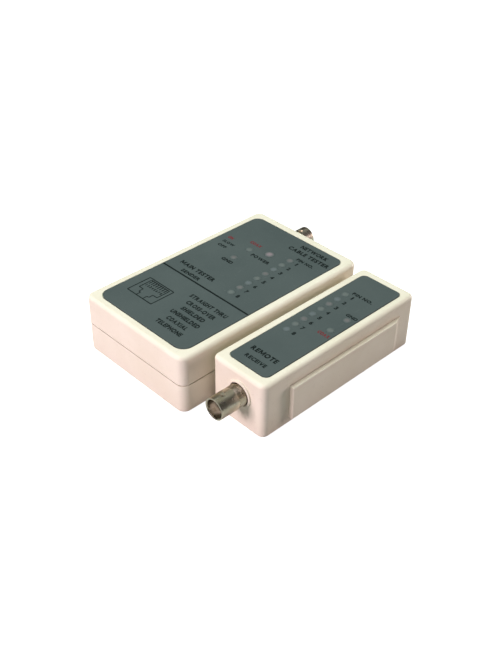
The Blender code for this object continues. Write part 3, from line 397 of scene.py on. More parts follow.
def box_into(bm, low, high):
    low = Vector(low)
    high = Vector(high)
    verts = bmesh.ops.create_cube(bm, size=1.0)["verts"]
    bmesh.ops.scale(bm, vec=high - low, verts=verts)
    bmesh.ops.translate(bm, vec=(low + high) / 2, verts=verts)


def boxes(*corner_pairs):
    bm = bmesh.new()
    for low, high in corner_pairs:
        box_into(bm, low, high)
    return mesh_from("boxes", bm)


def rounded_block(low, high, corner, top=0.0, bottom=0.0, corner_steps=10):
    """A box whose upright, top and bottom edges are rounded to their own radii."""
    bm = bmesh.new()
    box_into(bm, low, high)
    edge_steps = 8
    tolerance = 1e-6

    def upright(edge):
        return abs(edge.verts[0].co.z - edge.verts[1].co.z) > (high[2] - low[2]) / 2

    def at_height(z):
        return lambda edge: all(abs(vert.co.z - z) < tolerance for vert in edge.verts)

    rounds = (
        (upright, corner, corner_steps),
        (at_height(high[2]), top, edge_steps),
        (at_height(low[2]), bottom, edge_steps),
    )
    for chosen, radius, steps in rounds:
        if radius:
            edges = [edge for edge in bm.edges if chosen(edge)]
            bmesh.ops.bevel(bm, geom=edges, offset=radius, segments=steps, profile=0.5, affect="EDGES")
    return mesh_from("block", bm)


def rods(*items, steps=48):
    """Separate round rods, each (radius, start, end)."""
    bm = bmesh.new()
    for radius, start, end in items:
        start = Vector(start)
        run = Vector(end) - start
        matrix = Matrix.Translation(start + run / 2) @ run.to_track_quat("Z", "Y").to_matrix().to_4x4()
        sizes = {"radius1": radius, "radius2": radius, "depth": run.length}
        bmesh.ops.create_cone(bm, cap_ends=True, segments=steps, matrix=matrix, **sizes)
    return mesh_from("rods", bm)


def standing(radius, place, low_z, high_z):
    """A rod for rods() that stands at a place in X and Y between two heights."""
    return radius, (*place, low_z), (*place, high_z)


def turned(profile, closed, steps):
    """A profile of (radius, height) points, running down its outer side, turned about Z."""
    bm = bmesh.new()
    verts = [bm.verts.new((radius, 0.0, height)) for radius, height in profile]
    pairs = list(zip(verts, verts[1:]))
    if closed:
        pairs.append((verts[-1], verts[0]))
    for pair in pairs:
        bm.edges.new(pair)
    helper = object_from("turned", mesh_from("turned", bm))
    screw = helper.modifiers.new("turn", "SCREW")
    screw.steps = steps
    screw.render_steps = steps
    screw.use_merge_vertices = True
    screw.merge_threshold = 1e-7
    return settled(helper)


def combined(mesh, *steps):
    """The mesh after a list of (operation, other mesh) Booleans."""
    base = object_from("base", mesh)
    others = []
    for operation, other in steps:
        tool = object_from("tool", other)
        others.append(tool)
        modifier = base.modifiers.new("step", "BOOLEAN")
        modifier.operation = operation
        modifier.object = tool
        modifier.solver = "EXACT"
    made = settled(base)
    for tool in others:
        bpy.data.objects.remove(tool, do_unlink=True)
    return made


def cuts(*meshes):
    return [("DIFFERENCE", mesh.copy()) for mesh in meshes]


def joins(*meshes):
    return [("UNION", mesh.copy()) for mesh in meshes]


def welded(mesh, distance=1e-7):
    bm = bmesh.new()
    bm.from_mesh(mesh)
    bmesh.ops.remove_doubles(bm, verts=bm.verts, dist=distance)
    bm.to_mesh(mesh)
    bm.free()
    return mesh


def smooth(obj, eased):
    """Smooth shading with crisp edges, after easing the sharp edges by a small width."""
    obj.data.shade_smooth()
    obj.data.set_sharp_from_angle(angle=SHARP)
    if eased:
        bevel = obj.modifiers.new("eased", "BEVEL")
        bevel.width = eased
        bevel.segments = 2
        bevel.limit_method = "ANGLE"
        bevel.angle_limit = EASED_FROM
        bevel.use_clamp_overlap = eased != EASED  # a case's one narrow strip would stop every other edge
        bevel.miter_outer = "MITER_ARC"
    weighted = obj.modifiers.new("weighted", "WEIGHTED_NORMAL")
    weighted.keep_sharp = True
    weighted.weight = 90


def add_piece(name, mesh, material, body, node=None, eased=0.0):
    """A finished piece that rides on a body and stands for a CAD node, if one is named."""
    mesh.name = name
    mesh.materials.clear()
    mesh.materials.append(material)
    obj = object_from(name, mesh)
    smooth(obj, eased)
    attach(obj, body)
    if node:
        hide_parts(node)


def arc(centre, radius, start, steps):
    """A quarter circle of points."""
    angles = [math.radians(start + 90.0 * step / steps) for step in range(steps + 1)]
    return [(centre[0] + radius * math.cos(a), centre[1] + radius * math.sin(a)) for a in angles]


def circle(centre, radius, steps=36):
    angles = [2 * math.pi * step / steps for step in range(steps)]
    return [(centre[0] + radius * math.cos(a), centre[1] + radius * math.sin(a)) for a in angles]


def rounded_outline(low, high, near_radius, far_radius, steps=10):
    """A rectangle in X and Y with rounded corners, near and far corners apart."""
    points = arc((high[0] - far_radius, high[1] - far_radius), far_radius, 0, steps)
    points += arc((low[0] + far_radius, high[1] - far_radius), far_radius, 90, steps)
    points += arc((low[0] + near_radius, low[1] + near_radius), near_radius, 180, steps)
    points += arc((high[0] - near_radius, low[1] + near_radius), near_radius, 270, steps)
    return points


def plate(outline, low_z, high_z, holes=()):
    """A flat plate between two heights, from an outline and the outlines of its holes."""
    curve = bpy.data.curves.new("plate", "CURVE")
    curve.dimensions = "2D"
    curve.fill_mode = "BOTH"
    curve.extrude = (high_z - low_z) / 2
    for points in (outline, *holes):
        spline = curve.splines.new("POLY")
        spline.points.add(len(points) - 1)
        for point, (x, y) in zip(spline.points, points):
            point.co = (x, y, 0.0, 1.0)
        spline.use_cyclic_u = True
    mesh = welded(settled(object_from("plate", curve)))
    mesh.transform(Matrix.Translation((0, 0, (low_z + high_z) / 2)))
    return mesh


def centre_of(node):
    low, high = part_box(node)
    return (low + high) / 2


# ---------------------------------------------------------------- lamps


def lens_radius(node):
    low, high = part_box(node)
    return (high.x - low.x) / 2 - LAMP_FLANGE


def lamp_mesh(radius, height):
    """A lamp with a softly crowned lens whose top is at z = 0, on a flange with two legs."""
    flange = 1.0 * MM
    body = height - LEG_LENGTH
    crown = 0.16 * MM
    crown_steps = 8
    fractions = [step / crown_steps for step in range(crown_steps + 1)]
    profile = [(radius * part, -crown * part**2.4) for part in fractions]
    profile += [
        (radius + 0.02 * MM, -crown - 0.06 * MM),
        (radius + 0.02 * MM, flange - body + 0.1 * MM),
        (radius + 0.2 * MM, flange - body),
        (radius + 0.3 * MM, flange - body),
        (radius + 0.35 * MM, flange - body - 0.05 * MM),
        (radius + 0.35 * MM, -body),
        (0.0, -body),
    ]
    leg = 0.25 * MM
    pitch = 1.0 * MM
    legs = [((side - leg, -leg, -height), (side + leg, leg, 0.5 * MM - body)) for side in (-pitch, pitch)]
    return combined(turned(profile, False, 40), *joins(boxes(*legs)))


def add_lamps(unit, names):
    """Every lamp of a unit, tinted as its own frosted lens."""
    meshes = {}
    for index, name in enumerate(names):
        node = f"{unit}_{name}"
        low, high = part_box(node)
        radius = lens_radius(node)
        key = round(radius / MM, 1)
        if key not in meshes:
            meshes[key] = lamp_mesh(radius + LENS_FIT, high.z - low.z)
        mesh = meshes[key].copy()
        mesh.transform(Matrix.Translation((*centre_of(node).xy, high.z)))
        material = POWER_LENS if name == "led_power" else LENSES[(index * 2 + len(unit)) % len(LENSES)]
        add_piece(node + "_lens", mesh, material, unit, node)


def lamp_holes(unit, names):
    """Centre and radius of the hole that each lamp looks out of."""
    nodes = [f"{unit}_{name}" for name in names]
    return [(centre_of(node).xy, lens_radius(node) + GAP) for node in nodes]


def lamp_bores(unit, names, roof_z):
    """The same holes as cutters through a casing's roof."""
    holes = lamp_holes(unit, names)
    bores = [standing(radius, place, roof_z - 5 * MM, roof_z + MM) for place, radius in holes]
    return rods(*bores, steps=36)


# ---------------------------------------------------------------- overlays and print


def add_overlay(unit, corners, lamps):
    """The dark film on a casing's top, holed for the lamps."""
    node = unit + "_label"
    low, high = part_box(node)
    holes = [circle(centre, radius) for centre, radius in lamp_holes(unit, lamps)]
    mesh = plate(rounded_outline(low, high, *corners), low.z, high.z, holes)
    add_piece(unit + "_overlay", mesh, FILM, unit, node, 0.06 * MM)


def recess_mesh(unit, corners):
    """The shallow recess that the film lies in, GAP wider all round and GAP deeper."""
    low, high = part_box(unit + "_label")
    spread = Vector((GAP, GAP, 0))
    outline = rounded_outline(low - spread, high + spread, corners[0] + GAP, corners[1] + GAP)
    return plate(outline, low.z - GAP, high.z + 3 * MM)


def bold_m():
    """A bold capital M as a flat outline, drawn because a thickened font M closes up."""
    height, width, stroke, foot = 0.74, 0.86, 0.165, 0.12
    slant = stroke * 1.25
    half = width / 2
    right = [(width, 0.0), (width, height), (width - slant, height), (half, foot + stroke)]
    left = [(slant, height), (0.0, height), (0.0, 0.0), (stroke, 0.0), (stroke, height - 1.9 * stroke)]
    low = [(half - 0.25 * stroke, foot - 0.3 * stroke), (half + 0.25 * stroke, foot - 0.3 * stroke)]
    outline = right + left + low + [(width - stroke, height - 1.9 * stroke), (width - stroke, 0.0)]
    return plate(outline, -GLYPH_HALF_THICKNESS, GLYPH_HALF_THICKNESS)


def glyph(letter):
    """One letter as a thin closed solid, from the built-in font thickened to bold."""
    if letter == "M":
        return bold_m()
    font = bpy.data.curves.new("letter", "FONT")
    font.body = letter
    font.extrude = GLYPH_HALF_THICKNESS
    font.offset = 0.042
    font.resolution_u = 3
    return welded(settled(object_from("letter", font)), 1e-5)


GLYPHS = {}


def lettering(text):
    """A line of text as one mesh, its letters set side by side from x = 0, and its width."""
    bm = bmesh.new()
    x = 0.0
    for letter in text:
        if letter == " ":
            x += WORD_SPACE
            continue
        if letter not in GLYPHS:
            GLYPHS[letter] = glyph(letter)
        mesh = GLYPHS[letter].copy()
        xs = [vert.co.x for vert in mesh.vertices]
        mesh.transform(Matrix.Translation((x - min(xs), 0, 0)))
        bm.from_mesh(mesh)
        bpy.data.meshes.remove(mesh)
        x += max(xs) - min(xs) + LETTER_SPACE
    return mesh_from("lettering", bm), x - LETTER_SPACE


class Print:
    """One colour of print on an overlay, measured in millimetres from its near left corner."""

    def __init__(self, unit, colour, material):
        self.name = f"{unit}_print_{colour}"
        self.corner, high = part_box(unit + "_label")
        self.width = (high.x - self.corner.x) / MM
        self.top = high.z
        self.material = material
        self.unit = unit
        self.bm = bmesh.new()

    def point(self, x, y):
        return self.corner.x + x * MM, self.corner.y + y * MM

    def words(self, text, x, y, width, height):
        """A centred line of capitals fitted to a width and a cap height."""
        mesh, length = lettering(text)
        scale = (width * MM / length, height * MM / CAP_HEIGHT, PRINT_HEIGHT / GLYPH_HALF_THICKNESS, 1.0)
        matrix = Matrix.Translation((*self.point(x, y), self.top)) @ Matrix.Diagonal(scale)
        mesh.transform(matrix @ Matrix.Translation((-length / 2, -CAP_HEIGHT / 2, 0)))
        self.bm.from_mesh(mesh)
        bpy.data.meshes.remove(mesh)

    def bar(self, start, end, width):
        """A straight printed line between two points."""
        start = Vector((*self.point(*start), self.top))
        run = Vector((*self.point(*end), self.top)) - start
        across = Vector((-run.y, run.x, 0)).normalized() * width * MM / 2
        up = Vector((0, 0, PRINT_HEIGHT))
        for vert in bmesh.ops.create_cube(self.bm, size=1.0)["verts"]:
            side = across * (2 * vert.co.y)
            vert.co = start + run * (vert.co.x + 0.5) + side + up * (2 * vert.co.z)

    def path(self, points, width):
        """Straight printed lines from point to point."""
        for start, end in zip(points, points[1:]):
            self.bar(start, end, width)

    def pin_numbers(self, offset):
        """The numbers 1 to 8 beside the row of lamps."""
        for number in range(1, 9):
            middle = centre_of(f"{self.unit}_led_{number}")
            x = (middle.x - self.corner.x) / MM + offset
            y = (middle.y - self.corner.y) / MM
            width = DIGIT_WIDTH * (0.5 if number == 1 else 1.0)
            self.words(str(number), x, y, width, DIGIT_HEIGHT)

    def finish(self):
        add_piece(self.name, mesh_from(self.name, self.bm), self.material, self.unit)


def print_jack_symbol(layer):
    """A framed drawing of a modular jack's mouth, its stepped key and its eight contacts."""
    left, right, near, far = 5.3, 20.7, 11.3, 23.7
    layer.path([(left, near), (right, near), (right, far), (left, far), (left, near)], 0.46)
    line = 0.40
    middle = (left + right) / 2 + 0.15
    mouth, shoulder, foot = 5.8, 3.2, 2.1
    roof = far - 0.9
    sill = near + 4.7
    step = near + 2.4
    side = [(mouth, roof), (mouth, sill), (shoulder, sill), (shoulder, step), (foot, step), (foot, near)]
    for hand in (-1, 1):
        layer.path([(middle + hand * across, along) for across, along in side], line)
    layer.bar((middle - mouth, roof), (middle + mouth, roof), line)
    for index in range(8):
        x = middle + (index - 3.5) * 1.35
        layer.bar((x, roof), (x, far - 3.3), 0.50)
        layer.words(str(index + 1), x, far - 4.6, 0.8 if index else 0.3, 1.3)


# Each line of print: its words, the middle of the line in x and y, its width and its height
MAIN_DARK = (
    ("NETWORK", 40.2, 89.4, 15.6, 2.3),
    ("CABLE TESTER", 40.5, 85.2, 23.6, 2.3),
    ("PIN NO.", 43.0, 80.2, 9.6, 1.8),
    ("POWER", 27.0, 68.4, 10.8, 1.9),
    ("GND", 17.8, 57.0, 6.6, 1.8),
    ("SLOW", 7.6, 67.5, 7.0, 1.6),
    ("OFF", 7.2, 63.8, 5.0, 1.6),
    ("MAIN TESTER", 15.2, 42.0, 21.2, 2.3),
    ("SENDER", 15.4, 37.8, 11.4, 1.9),
)
MAIN_RED = (("COAX", 17.0, 75.7, 6.6, 1.7), ("ON", 5.0, 71.4, 3.0, 1.7))
CABLE_TYPES = ("STRAIGHT THRU", "CROSS-OVER", "SHIELDED", "UNSHIELDED", "COAXIAL", "TELEPHONE")
REMOTE_DARK = (
    ("PIN NO.", 11.5, 66.7, 10.6, 1.8),
    ("GND", 17.2, 53.1, 5.8, 1.7),
    ("REMOTE", 10.2, 10.0, 13.8, 2.4),
    ("RECEIVE", 10.4, 4.9, 11.0, 1.9),
)
REMOTE_RED = (("COAX", 17.1, 36.2, 6.0, 1.7),)


def add_print(unit, dark_lines, red_lines, number_offset):
    """A unit's dark and red print; the main unit's also has a rule, a list and a drawing."""
    dark = Print(unit, "dark", DARK_INK)
    red = Print(unit, "red", RED_INK)
    for layer, lines in ((dark, dark_lines), (red, red_lines)):
        for line in lines:
            layer.words(*line)
    dark.pin_numbers(number_offset)
    if unit == "main":
        rule_y = 35.2
        dark.bar((0.1, rule_y), (dark.width - 0.1, rule_y), 0.78)
        for row, words in enumerate(CABLE_TYPES):
            dark.words(words, 38.0, 27.7 - 4.26 * row, 1.68 * len(words), 2.2)
        print_jack_symbol(dark)
    dark.finish()
    red.finish()


# ---------------------------------------------------------------- coaxial sockets


def cross_cutters(arm, half, low_z, high_z):
    """Two crossing slots, as separate meshes because a cutter's own boxes mustn't cross."""
    return (
        boxes(((-arm, -half, low_z), (arm, half, high_z))),
        boxes(((-half, -arm, low_z), (half, arm, high_z))),
    )


def socket_matrix(unit, outward):
    """A matrix that turns a part's +Z to point out of the casing along Y, and the socket's reach."""
    node = unit + "_bnc_shell"
    low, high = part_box(node)
    reach = high.y - low.y - COAX_INSIDE
    mouth = high.y if outward > 0 else low.y
    middle = centre_of(node)
    place = Vector((middle.x, mouth - outward * reach, middle.z))
    return Matrix.Translation(place) @ Matrix.Rotation(math.radians(-90 * outward), 4, "X"), reach


def barrel_profile(reach):
    """The outer barrel: a plain bayonet length with a crisp mouth, then a threaded root."""
    outer = COAX_RADIUS
    thread_top = 4.2 * MM
    thread_low = 0.4 * MM
    pitch = 0.55 * MM
    profile = [
        (COAX_BORE + 0.25 * MM, reach),
        (outer - 0.12 * MM, reach),
        (outer - 0.03 * MM, reach - 0.04 * MM),
        (outer, reach - 0.14 * MM),
        (outer, thread_top + 0.5 * MM),
        (outer - 0.25 * MM, thread_top + 0.3 * MM),
        (outer - 0.25 * MM, thread_top),
    ]
    for turn in range(int((thread_top - thread_low) / pitch)):
        z = thread_top - turn * pitch
        profile.append((outer - 0.04 * MM, z - pitch * 0.35))
        profile.append((outer - 0.04 * MM, z - pitch * 0.55))
        profile.append((outer - 0.28 * MM, z - pitch * 0.9))
    profile += [
        (outer - 0.1 * MM, thread_low - 0.1 * MM),
        (outer, thread_low - 0.3 * MM),
        (outer, -COAX_INSIDE),
        (COAX_BORE, -COAX_INSIDE),
        (COAX_BORE, reach - 0.3 * MM),
    ]
    return profile


def barrel_mesh(reach, lug_reach):
    """The barrel with a bayonet lug on either side."""
    lug_root = COAX_BORE + 0.3 * MM
    lug_profile = [
        (0.0, lug_reach),
        (LUG_RADIUS - 0.3 * MM, lug_reach),
        (LUG_RADIUS - 0.08 * MM, lug_reach - 0.1 * MM),
        (LUG_RADIUS, lug_reach - 0.3 * MM),
        (LUG_RADIUS, lug_root),
        (0.0, lug_root),
    ]
    lug_place = Matrix.Translation((0, 0, reach - 4.6 * MM))
    lugs = []
    for turn in (90, -90):
        lug = turned(lug_profile, False, 28)
        lug.transform(lug_place @ Matrix.Rotation(math.radians(turn), 4, "X"))
        lugs.append(lug)
    return combined(turned(barrel_profile(reach), True, 72), *joins(*lugs))


def dielectric_mesh(sleeve_end):
    """The insulator: a sleeve round the contact on a foot that fills the barrel."""
    inner = CONTACT_RADIUS + GAP
    foot = COAX_BORE - GAP
    profile = [
        (inner, sleeve_end - 0.2 * MM),
        (inner + 0.2 * MM, sleeve_end),
        (2.2 * MM, sleeve_end),
        (2.4 * MM, sleeve_end - 0.2 * MM),
        (2.4 * MM, 3.9 * MM),
        (2.6 * MM, 3.5 * MM),
        (foot - 0.2 * MM, 3.4 * MM),
        (foot, 3.2 * MM),
        (foot, -COAX_INSIDE),
        (inner, -COAX_INSIDE),
    ]
    return turned(profile, True, 48)


def pin_socket_mesh(sleeve_end):
    """The centre contact: a bored pin whose end is slit crosswise."""
    end = sleeve_end - GAP
    tail = -6.0 * MM
    profile = [
        (0.0, 5.0 * MM),
        (0.5 * MM, 5.2 * MM),
        (0.5 * MM, end - 0.15 * MM),
        (0.65 * MM, end),
        (0.8 * MM, end),
        (CONTACT_RADIUS, end - 0.15 * MM),
        (CONTACT_RADIUS, tail),
        (0.0, tail),
    ]
    slots = cross_cutters(2 * MM, 0.1 * MM, sleeve_end - 3.5 * MM, sleeve_end + MM)
    return combined(turned(profile, False, 32), *cuts(*slots))


def add_coax_socket(unit, outward):
    """The barrel, its insulator and its centre contact."""
    matrix, reach = socket_matrix(unit, outward)
    low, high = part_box(unit + "_bnc_shell")
    sleeve_end = reach - 5.0 * MM
    pieces = (
        ("_bnc_barrel", barrel_mesh(reach, (high.z - low.z) / 2), NICKEL, "nickel", "_bnc_shell"),
        ("_bnc_dielectric", dielectric_mesh(sleeve_end), INSULATOR, "insulator", "_bnc_insulator"),
        ("_bnc_pin_socket", pin_socket_mesh(sleeve_end), GOLD, "gold", "_bnc_contact"),
    )
    for name, mesh, material, slot, node in pieces:
        mesh.transform(matrix)
        add_piece(unit + name, mesh, material, unit, unit + node)


def socket_cutters(unit, outward):
    """The collar that stands round a socket and the round opening through the wall."""
    matrix, _ = socket_matrix(unit, outward)
    profile = [
        (0.0, COLLAR_HEIGHT),
        (COLLAR_RADIUS - 0.35 * MM, COLLAR_HEIGHT),
        (COLLAR_RADIUS - 0.1 * MM, COLLAR_HEIGHT - 0.1 * MM),
        (COLLAR_RADIUS, COLLAR_HEIGHT - 0.35 * MM),
        (COLLAR_RADIUS, -1.0 * MM),
        (0.0, -1.0 * MM),
    ]
    steps = 72
    collar = turned(profile, False, steps)
    opening = rods((COAX_RADIUS + GAP, (0, 0, -8 * MM), (0, 0, 5 * MM)), steps=steps)
    collar.transform(matrix)
    opening.transform(matrix @ Matrix.Rotation(math.pi / steps, 4, "Z"))  # its edges miss the collar's
    return collar, opening


# ---------------------------------------------------------------- modular jacks


def jack_housing(low, high):
    """A block whose mouth steps down twice for a plug's latch, with two grooves down each side."""
    x = (low.x + high.x) / 2
    face = high.y
    floor = low.z + 4.0 * MM
    steps = (
        # half width, depth, and lower and upper edges above the mouth's floor, in millimetres
        (5.95, 14.5, 0.0, 7.1),
        (3.3, 9.0, -1.5, 0.5),
        (1.8, 8.0, -2.6, -1.0),
    )
    mouth = []
    for half, depth, lower, upper in steps:
        corner = (x - half * MM, face - depth * MM, floor + lower * MM)
        mouth.append(boxes((corner, (x + half * MM, face + 2 * MM, floor + upper * MM))))
    groove_width = 1.5 * MM
    grooves = []
    for side, edge in ((-1, low.x), (1, high.x)):
        low_x, high_x = sorted((edge + side * MM, edge - side * 0.25 * MM))
        for depth in (5.0, 9.5):
            far = face - depth * MM
            grooves.append(((low_x, far - groove_width, low.z - MM), (high_x, far, high.z + MM)))
    return combined(boxes((low, high)), *cuts(*mouth, boxes(*grooves)))


def jack_wire(x, low, high):
    """One sprung contact: a wire that runs forward, bends over and comes back down."""
    radius = 0.22 * MM
    top = high.z - radius
    back = low.y + radius
    front = high.y - radius
    points = (
        (back, top),
        (front - 1.2 * MM, top),
        (front - 0.3 * MM, top - 0.05 * MM),
        (front, top - 0.3 * MM),
        (front - 0.3 * MM, top - 0.6 * MM),
        (back + 3.0 * MM, low.z + radius),
    )
    curve = bpy.data.curves.new("contact", "CURVE")
    curve.dimensions = "3D"
    curve.bevel_depth = radius
    curve.bevel_resolution = 3
    curve.use_fill_caps = True
    spline = curve.splines.new("POLY")
    spline.points.add(len(points) - 1)
    for point, (y, z) in zip(spline.points, points):
        point.co = (x, y, z, 1.0)
    return welded(settled(object_from("contact", curve)))


def add_jack(unit):
    """The jack's housing and its eight contacts."""
    node = unit + "_rj45_housing"
    mesh = jack_housing(*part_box(node))
    add_piece(unit + "_jack", mesh, BLACK, unit, node, 0.2 * MM)
    middle = centre_of(node).x
    pitch = 1.02 * MM
    node = unit + "_rj45_contacts"
    bm = bmesh.new()
    for index in range(8):
        wire = jack_wire(middle + (index - 3.5) * pitch, *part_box(node))
        bm.from_mesh(wire)
        bpy.data.meshes.remove(wire)
    name = unit + "_jack_contacts"
    add_piece(name, mesh_from(name, bm), GOLD, unit, node)


def jack_opening(unit):
    low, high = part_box(unit + "_rj45_housing")
    spread = Vector((GAP, 0, GAP))
    return boxes((low - spread - Vector((0, MM, 0)), high + spread + Vector((0, 3 * MM, 0))))


# ---------------------------------------------------------------- screws


def screw_nodes(unit, count):
    return [f"{unit}_case_screw_{number}" for number in range(1, count + 1)]


def screw_mesh(length):
    """A pan-head screw pointing up, its head's face at z = 0, with a cross recess and a thread."""
    head = HEAD_RADIUS
    shaft = SHAFT_RADIUS
    profile = [(0.0, length), (shaft * 0.2, length), (shaft * 0.75, length - 1.2 * MM)]
    pitch = 1.0 * MM
    z = length - 1.2 * MM
    while z - pitch > HEAD_HEIGHT + 1.0 * MM:
        profile.append((shaft * 0.78, z - pitch * 0.3))
        profile.append((shaft, z - pitch * 0.5))
        profile.append((shaft * 0.78, z - pitch * 0.7))
        z -= pitch
    profile.append((shaft * 0.85, HEAD_HEIGHT))
    profile.append((head - 0.1 * MM, HEAD_HEIGHT))
    profile.append((head, HEAD_HEIGHT - 0.15 * MM))
    dome = 0.9 * MM
    steps = 7
    flare = 0.999  # each ring of the dome is a hair wider than an ellipse's
    for step in range(steps):
        angle = math.pi / 2 * step / steps
        profile.append((head * math.cos(angle * flare), dome - dome * math.sin(angle)))
    profile.append((0.0, 0.0))
    cross = cross_cutters(1.35 * MM, 0.28 * MM, -MM, 1.0 * MM)
    return combined(turned(profile, False, 40), *cuts(*cross))


def add_screws(unit, count):
    """A unit's screws, each turned to an angle of its own."""
    nodes = screw_nodes(unit, count)
    low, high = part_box(nodes[0])
    shared = screw_mesh(high.z - low.z)
    for number, node in enumerate(nodes, 1):
        mesh = shared.copy()
        place = Matrix.Translation((*centre_of(node).xy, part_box(node)[0].z))
        mesh.transform(place @ Matrix.Rotation(math.radians(37.0 * number), 4, "Z"))
        add_piece(node + "_threaded", mesh, STEEL, unit, node)


def screw_cutters(unit, count):
    """The screws' places, and cutters for their head recesses and shaft holes."""
    nodes = screw_nodes(unit, count)
    low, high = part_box(nodes[0])
    places = [centre_of(node).xy for node in nodes]
    heads = [standing(HEAD_RADIUS + GAP, place, -MM, low.z + HEAD_HEIGHT + GAP) for place in places]
    shafts = [standing(SHAFT_RADIUS + GAP, place, 0.0, high.z + GAP) for place in places]
    return places, rods(*heads), rods(*shafts, steps=32)


# ---------------------------------------------------------------- main casing


def main_extent():
    """The plain outer box of the main casing, without the collar."""
    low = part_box("main_case_bottom")[0]
    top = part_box("main_case_top")[1]
    return Vector((low.x, low.y, 0.0)), Vector((top.x, -low.y, top.z))


def main_inner(margin, low_z, high_z):
    """The main casing's inside, wider by a margin, between two heights."""
    low, high = main_extent()
    inner_low = (low.x + WALL - margin, low.y + WALL - margin, low_z)
    inner_high = (high.x - WALL - CHANNEL_DEPTH + margin, high.y - WALL + margin, high_z)
    return rounded_block(inner_low, inner_high, MAIN_CORNER - WALL + margin)


def trapezoid(low_x, high_x, low_z, high_z, half_low, half_high, middle):
    """A bar along X whose width changes from its underside to its top."""
    outline = [
        (middle + half_low, low_z),
        (middle + half_high, high_z),
        (middle - half_high, high_z),
        (middle - half_low, low_z),
    ]
    mesh = plate(outline, low_x, high_x)
    mesh.transform(Matrix.Rotation(math.radians(90), 4, "Z") @ Matrix.Rotation(math.radians(90), 4, "X"))
    return mesh


def door_way():
    """The dovetailed way on the underside that the battery door slides in, and the battery hole."""
    low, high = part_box("main_battery_door")
    middle = (high.y + low.y) / 2
    top = high.z + GAP
    half_top = (high.y - low.y) / 2 + GAP + DOOR_SLOPE * GAP
    half_low = half_top - DOOR_SLOPE * (top + MM)
    way = trapezoid(low.x - 5 * MM, high.x + GAP, -MM, top, half_low, half_top, middle)
    battery_low, battery_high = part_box("main_battery")
    snap_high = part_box("main_battery_snap")[1]
    spread = Vector((GAP, GAP, 0))
    hole_low = Vector((battery_low.x, battery_low.y, 0.0)) - spread
    hole_high = Vector((snap_high.x, battery_high.y, FLOOR + MM)) + spread
    return way, boxes((hole_low, hole_high))


def parking_channel():
    """The groove along the main casing's right side that the remote's rail slides into."""
    inner_x = main_extent()[1].x - CHANNEL_DEPTH
    return boxes(((inner_x, CHANNEL_NEAR_Y, CHANNEL_LOW_Z), (FAR_OUT, FAR_OUT, CHANNEL_HIGH_Z)))


def switch_slot():
    """The opening for the switch knob, long enough for its travel."""
    low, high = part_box("main_switch_knob")
    travel = next(joint for joint in frame["joints"] if joint["name"] == "power_switch_slide")["range_m"][1]
    inner = main_extent()[0].x + WALL
    slot_low = (low.x - 3 * MM, low.y - travel - GAP, low.z - GAP)
    slot_high = (inner + MM, high.y + travel + GAP, high.z + GAP)
    return boxes((slot_low, slot_high))


def add_main_case():
    """The upper and lower shells, which meet at the parting line round a lip."""
    low, high = main_extent()
    parting_low = PARTING_Z - PARTING_GAP / 2
    parting_high = PARTING_Z + PARTING_GAP / 2
    lip_top = parting_low + LIP_HEIGHT
    collar, opening = socket_cutters("main", 1)
    places, heads, shafts = screw_cutters("main", 4)
    outer = rounded_block(low, high, MAIN_CORNER, TOP_EDGE, BOTTOM_EDGE, 14)
    roof_z = high.z - ROOF
    hollow = main_inner(0.0, FLOOR, roof_z)
    shared = (parking_channel(), shafts, switch_slot(), opening, jack_opening("main"))

    below = boxes(((-FAR_OUT, -FAR_OUT, -FAR_OUT), (FAR_OUT, FAR_OUT, parting_high)))
    relief = main_inner(LIP_THICKNESS + GAP, parting_low - MM, lip_top + GAP)
    posts = [standing(UPPER_POST_RADIUS, place, parting_high, roof_z + MM) for place in places]
    top = combined(
        outer.copy(),
        *joins(collar),
        *cuts(hollow, below, relief),
        *joins(rods(*posts)),
        *cuts(*shared, recess_mesh("main", MAIN_LABEL_CORNERS), lamp_bores("main", MAIN_LAMPS, high.z)),
    )
    add_piece("main_upper_shell", top, IVORY, "main", "main_case_top", EASED)

    above = combined(
        boxes(((-FAR_OUT, -FAR_OUT, parting_low), (FAR_OUT, FAR_OUT, FAR_OUT))),
        *cuts(main_inner(LIP_THICKNESS, parting_low - MM, lip_top)),
    )
    posts = [standing(LOWER_POST_RADIUS, place, FLOOR - MM, parting_low) for place in places]
    bottom = combined(
        outer.copy(),
        *joins(collar),
        *cuts(hollow, above),
        *joins(rods(*posts)),
        *cuts(*shared, heads, *door_way()),
    )
    add_piece("main_lower_shell", bottom, IVORY, "main", "main_case_bottom", EASED)


def add_battery_door():
    """The dovetailed door, with finger grooves and a moulded arrow that points the way it slides."""
    low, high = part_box("main_battery_door")
    middle = (low.y + high.y) / 2
    half_high = (high.y - low.y) / 2
    mesh = trapezoid(low.x, high.x, low.z, high.z, half_high - DOOR_LEAN, half_high, middle)
    half_groove = 8 * MM
    grooves = []
    for index in range(6):
        x = low.x + (5.0 + 1.8 * index) * MM
        grooves.append((0.5 * MM, (x, middle - half_groove, low.z), (x, middle + half_groove, low.z)))
    tip = low.x + 18 * MM
    back = tip + 6 * MM
    half_back = 4 * MM
    outline = [(tip, middle), (back, middle - half_back), (back, middle + half_back)]
    arrow = plate(outline, -MM, low.z + 0.35 * MM)
    mesh = combined(mesh, *cuts(rods(*grooves, steps=24), arrow))
    add_piece(
        "battery_cover", mesh, IVORY, "battery_door", "main_battery_door", MOULDED_EDGE
    )


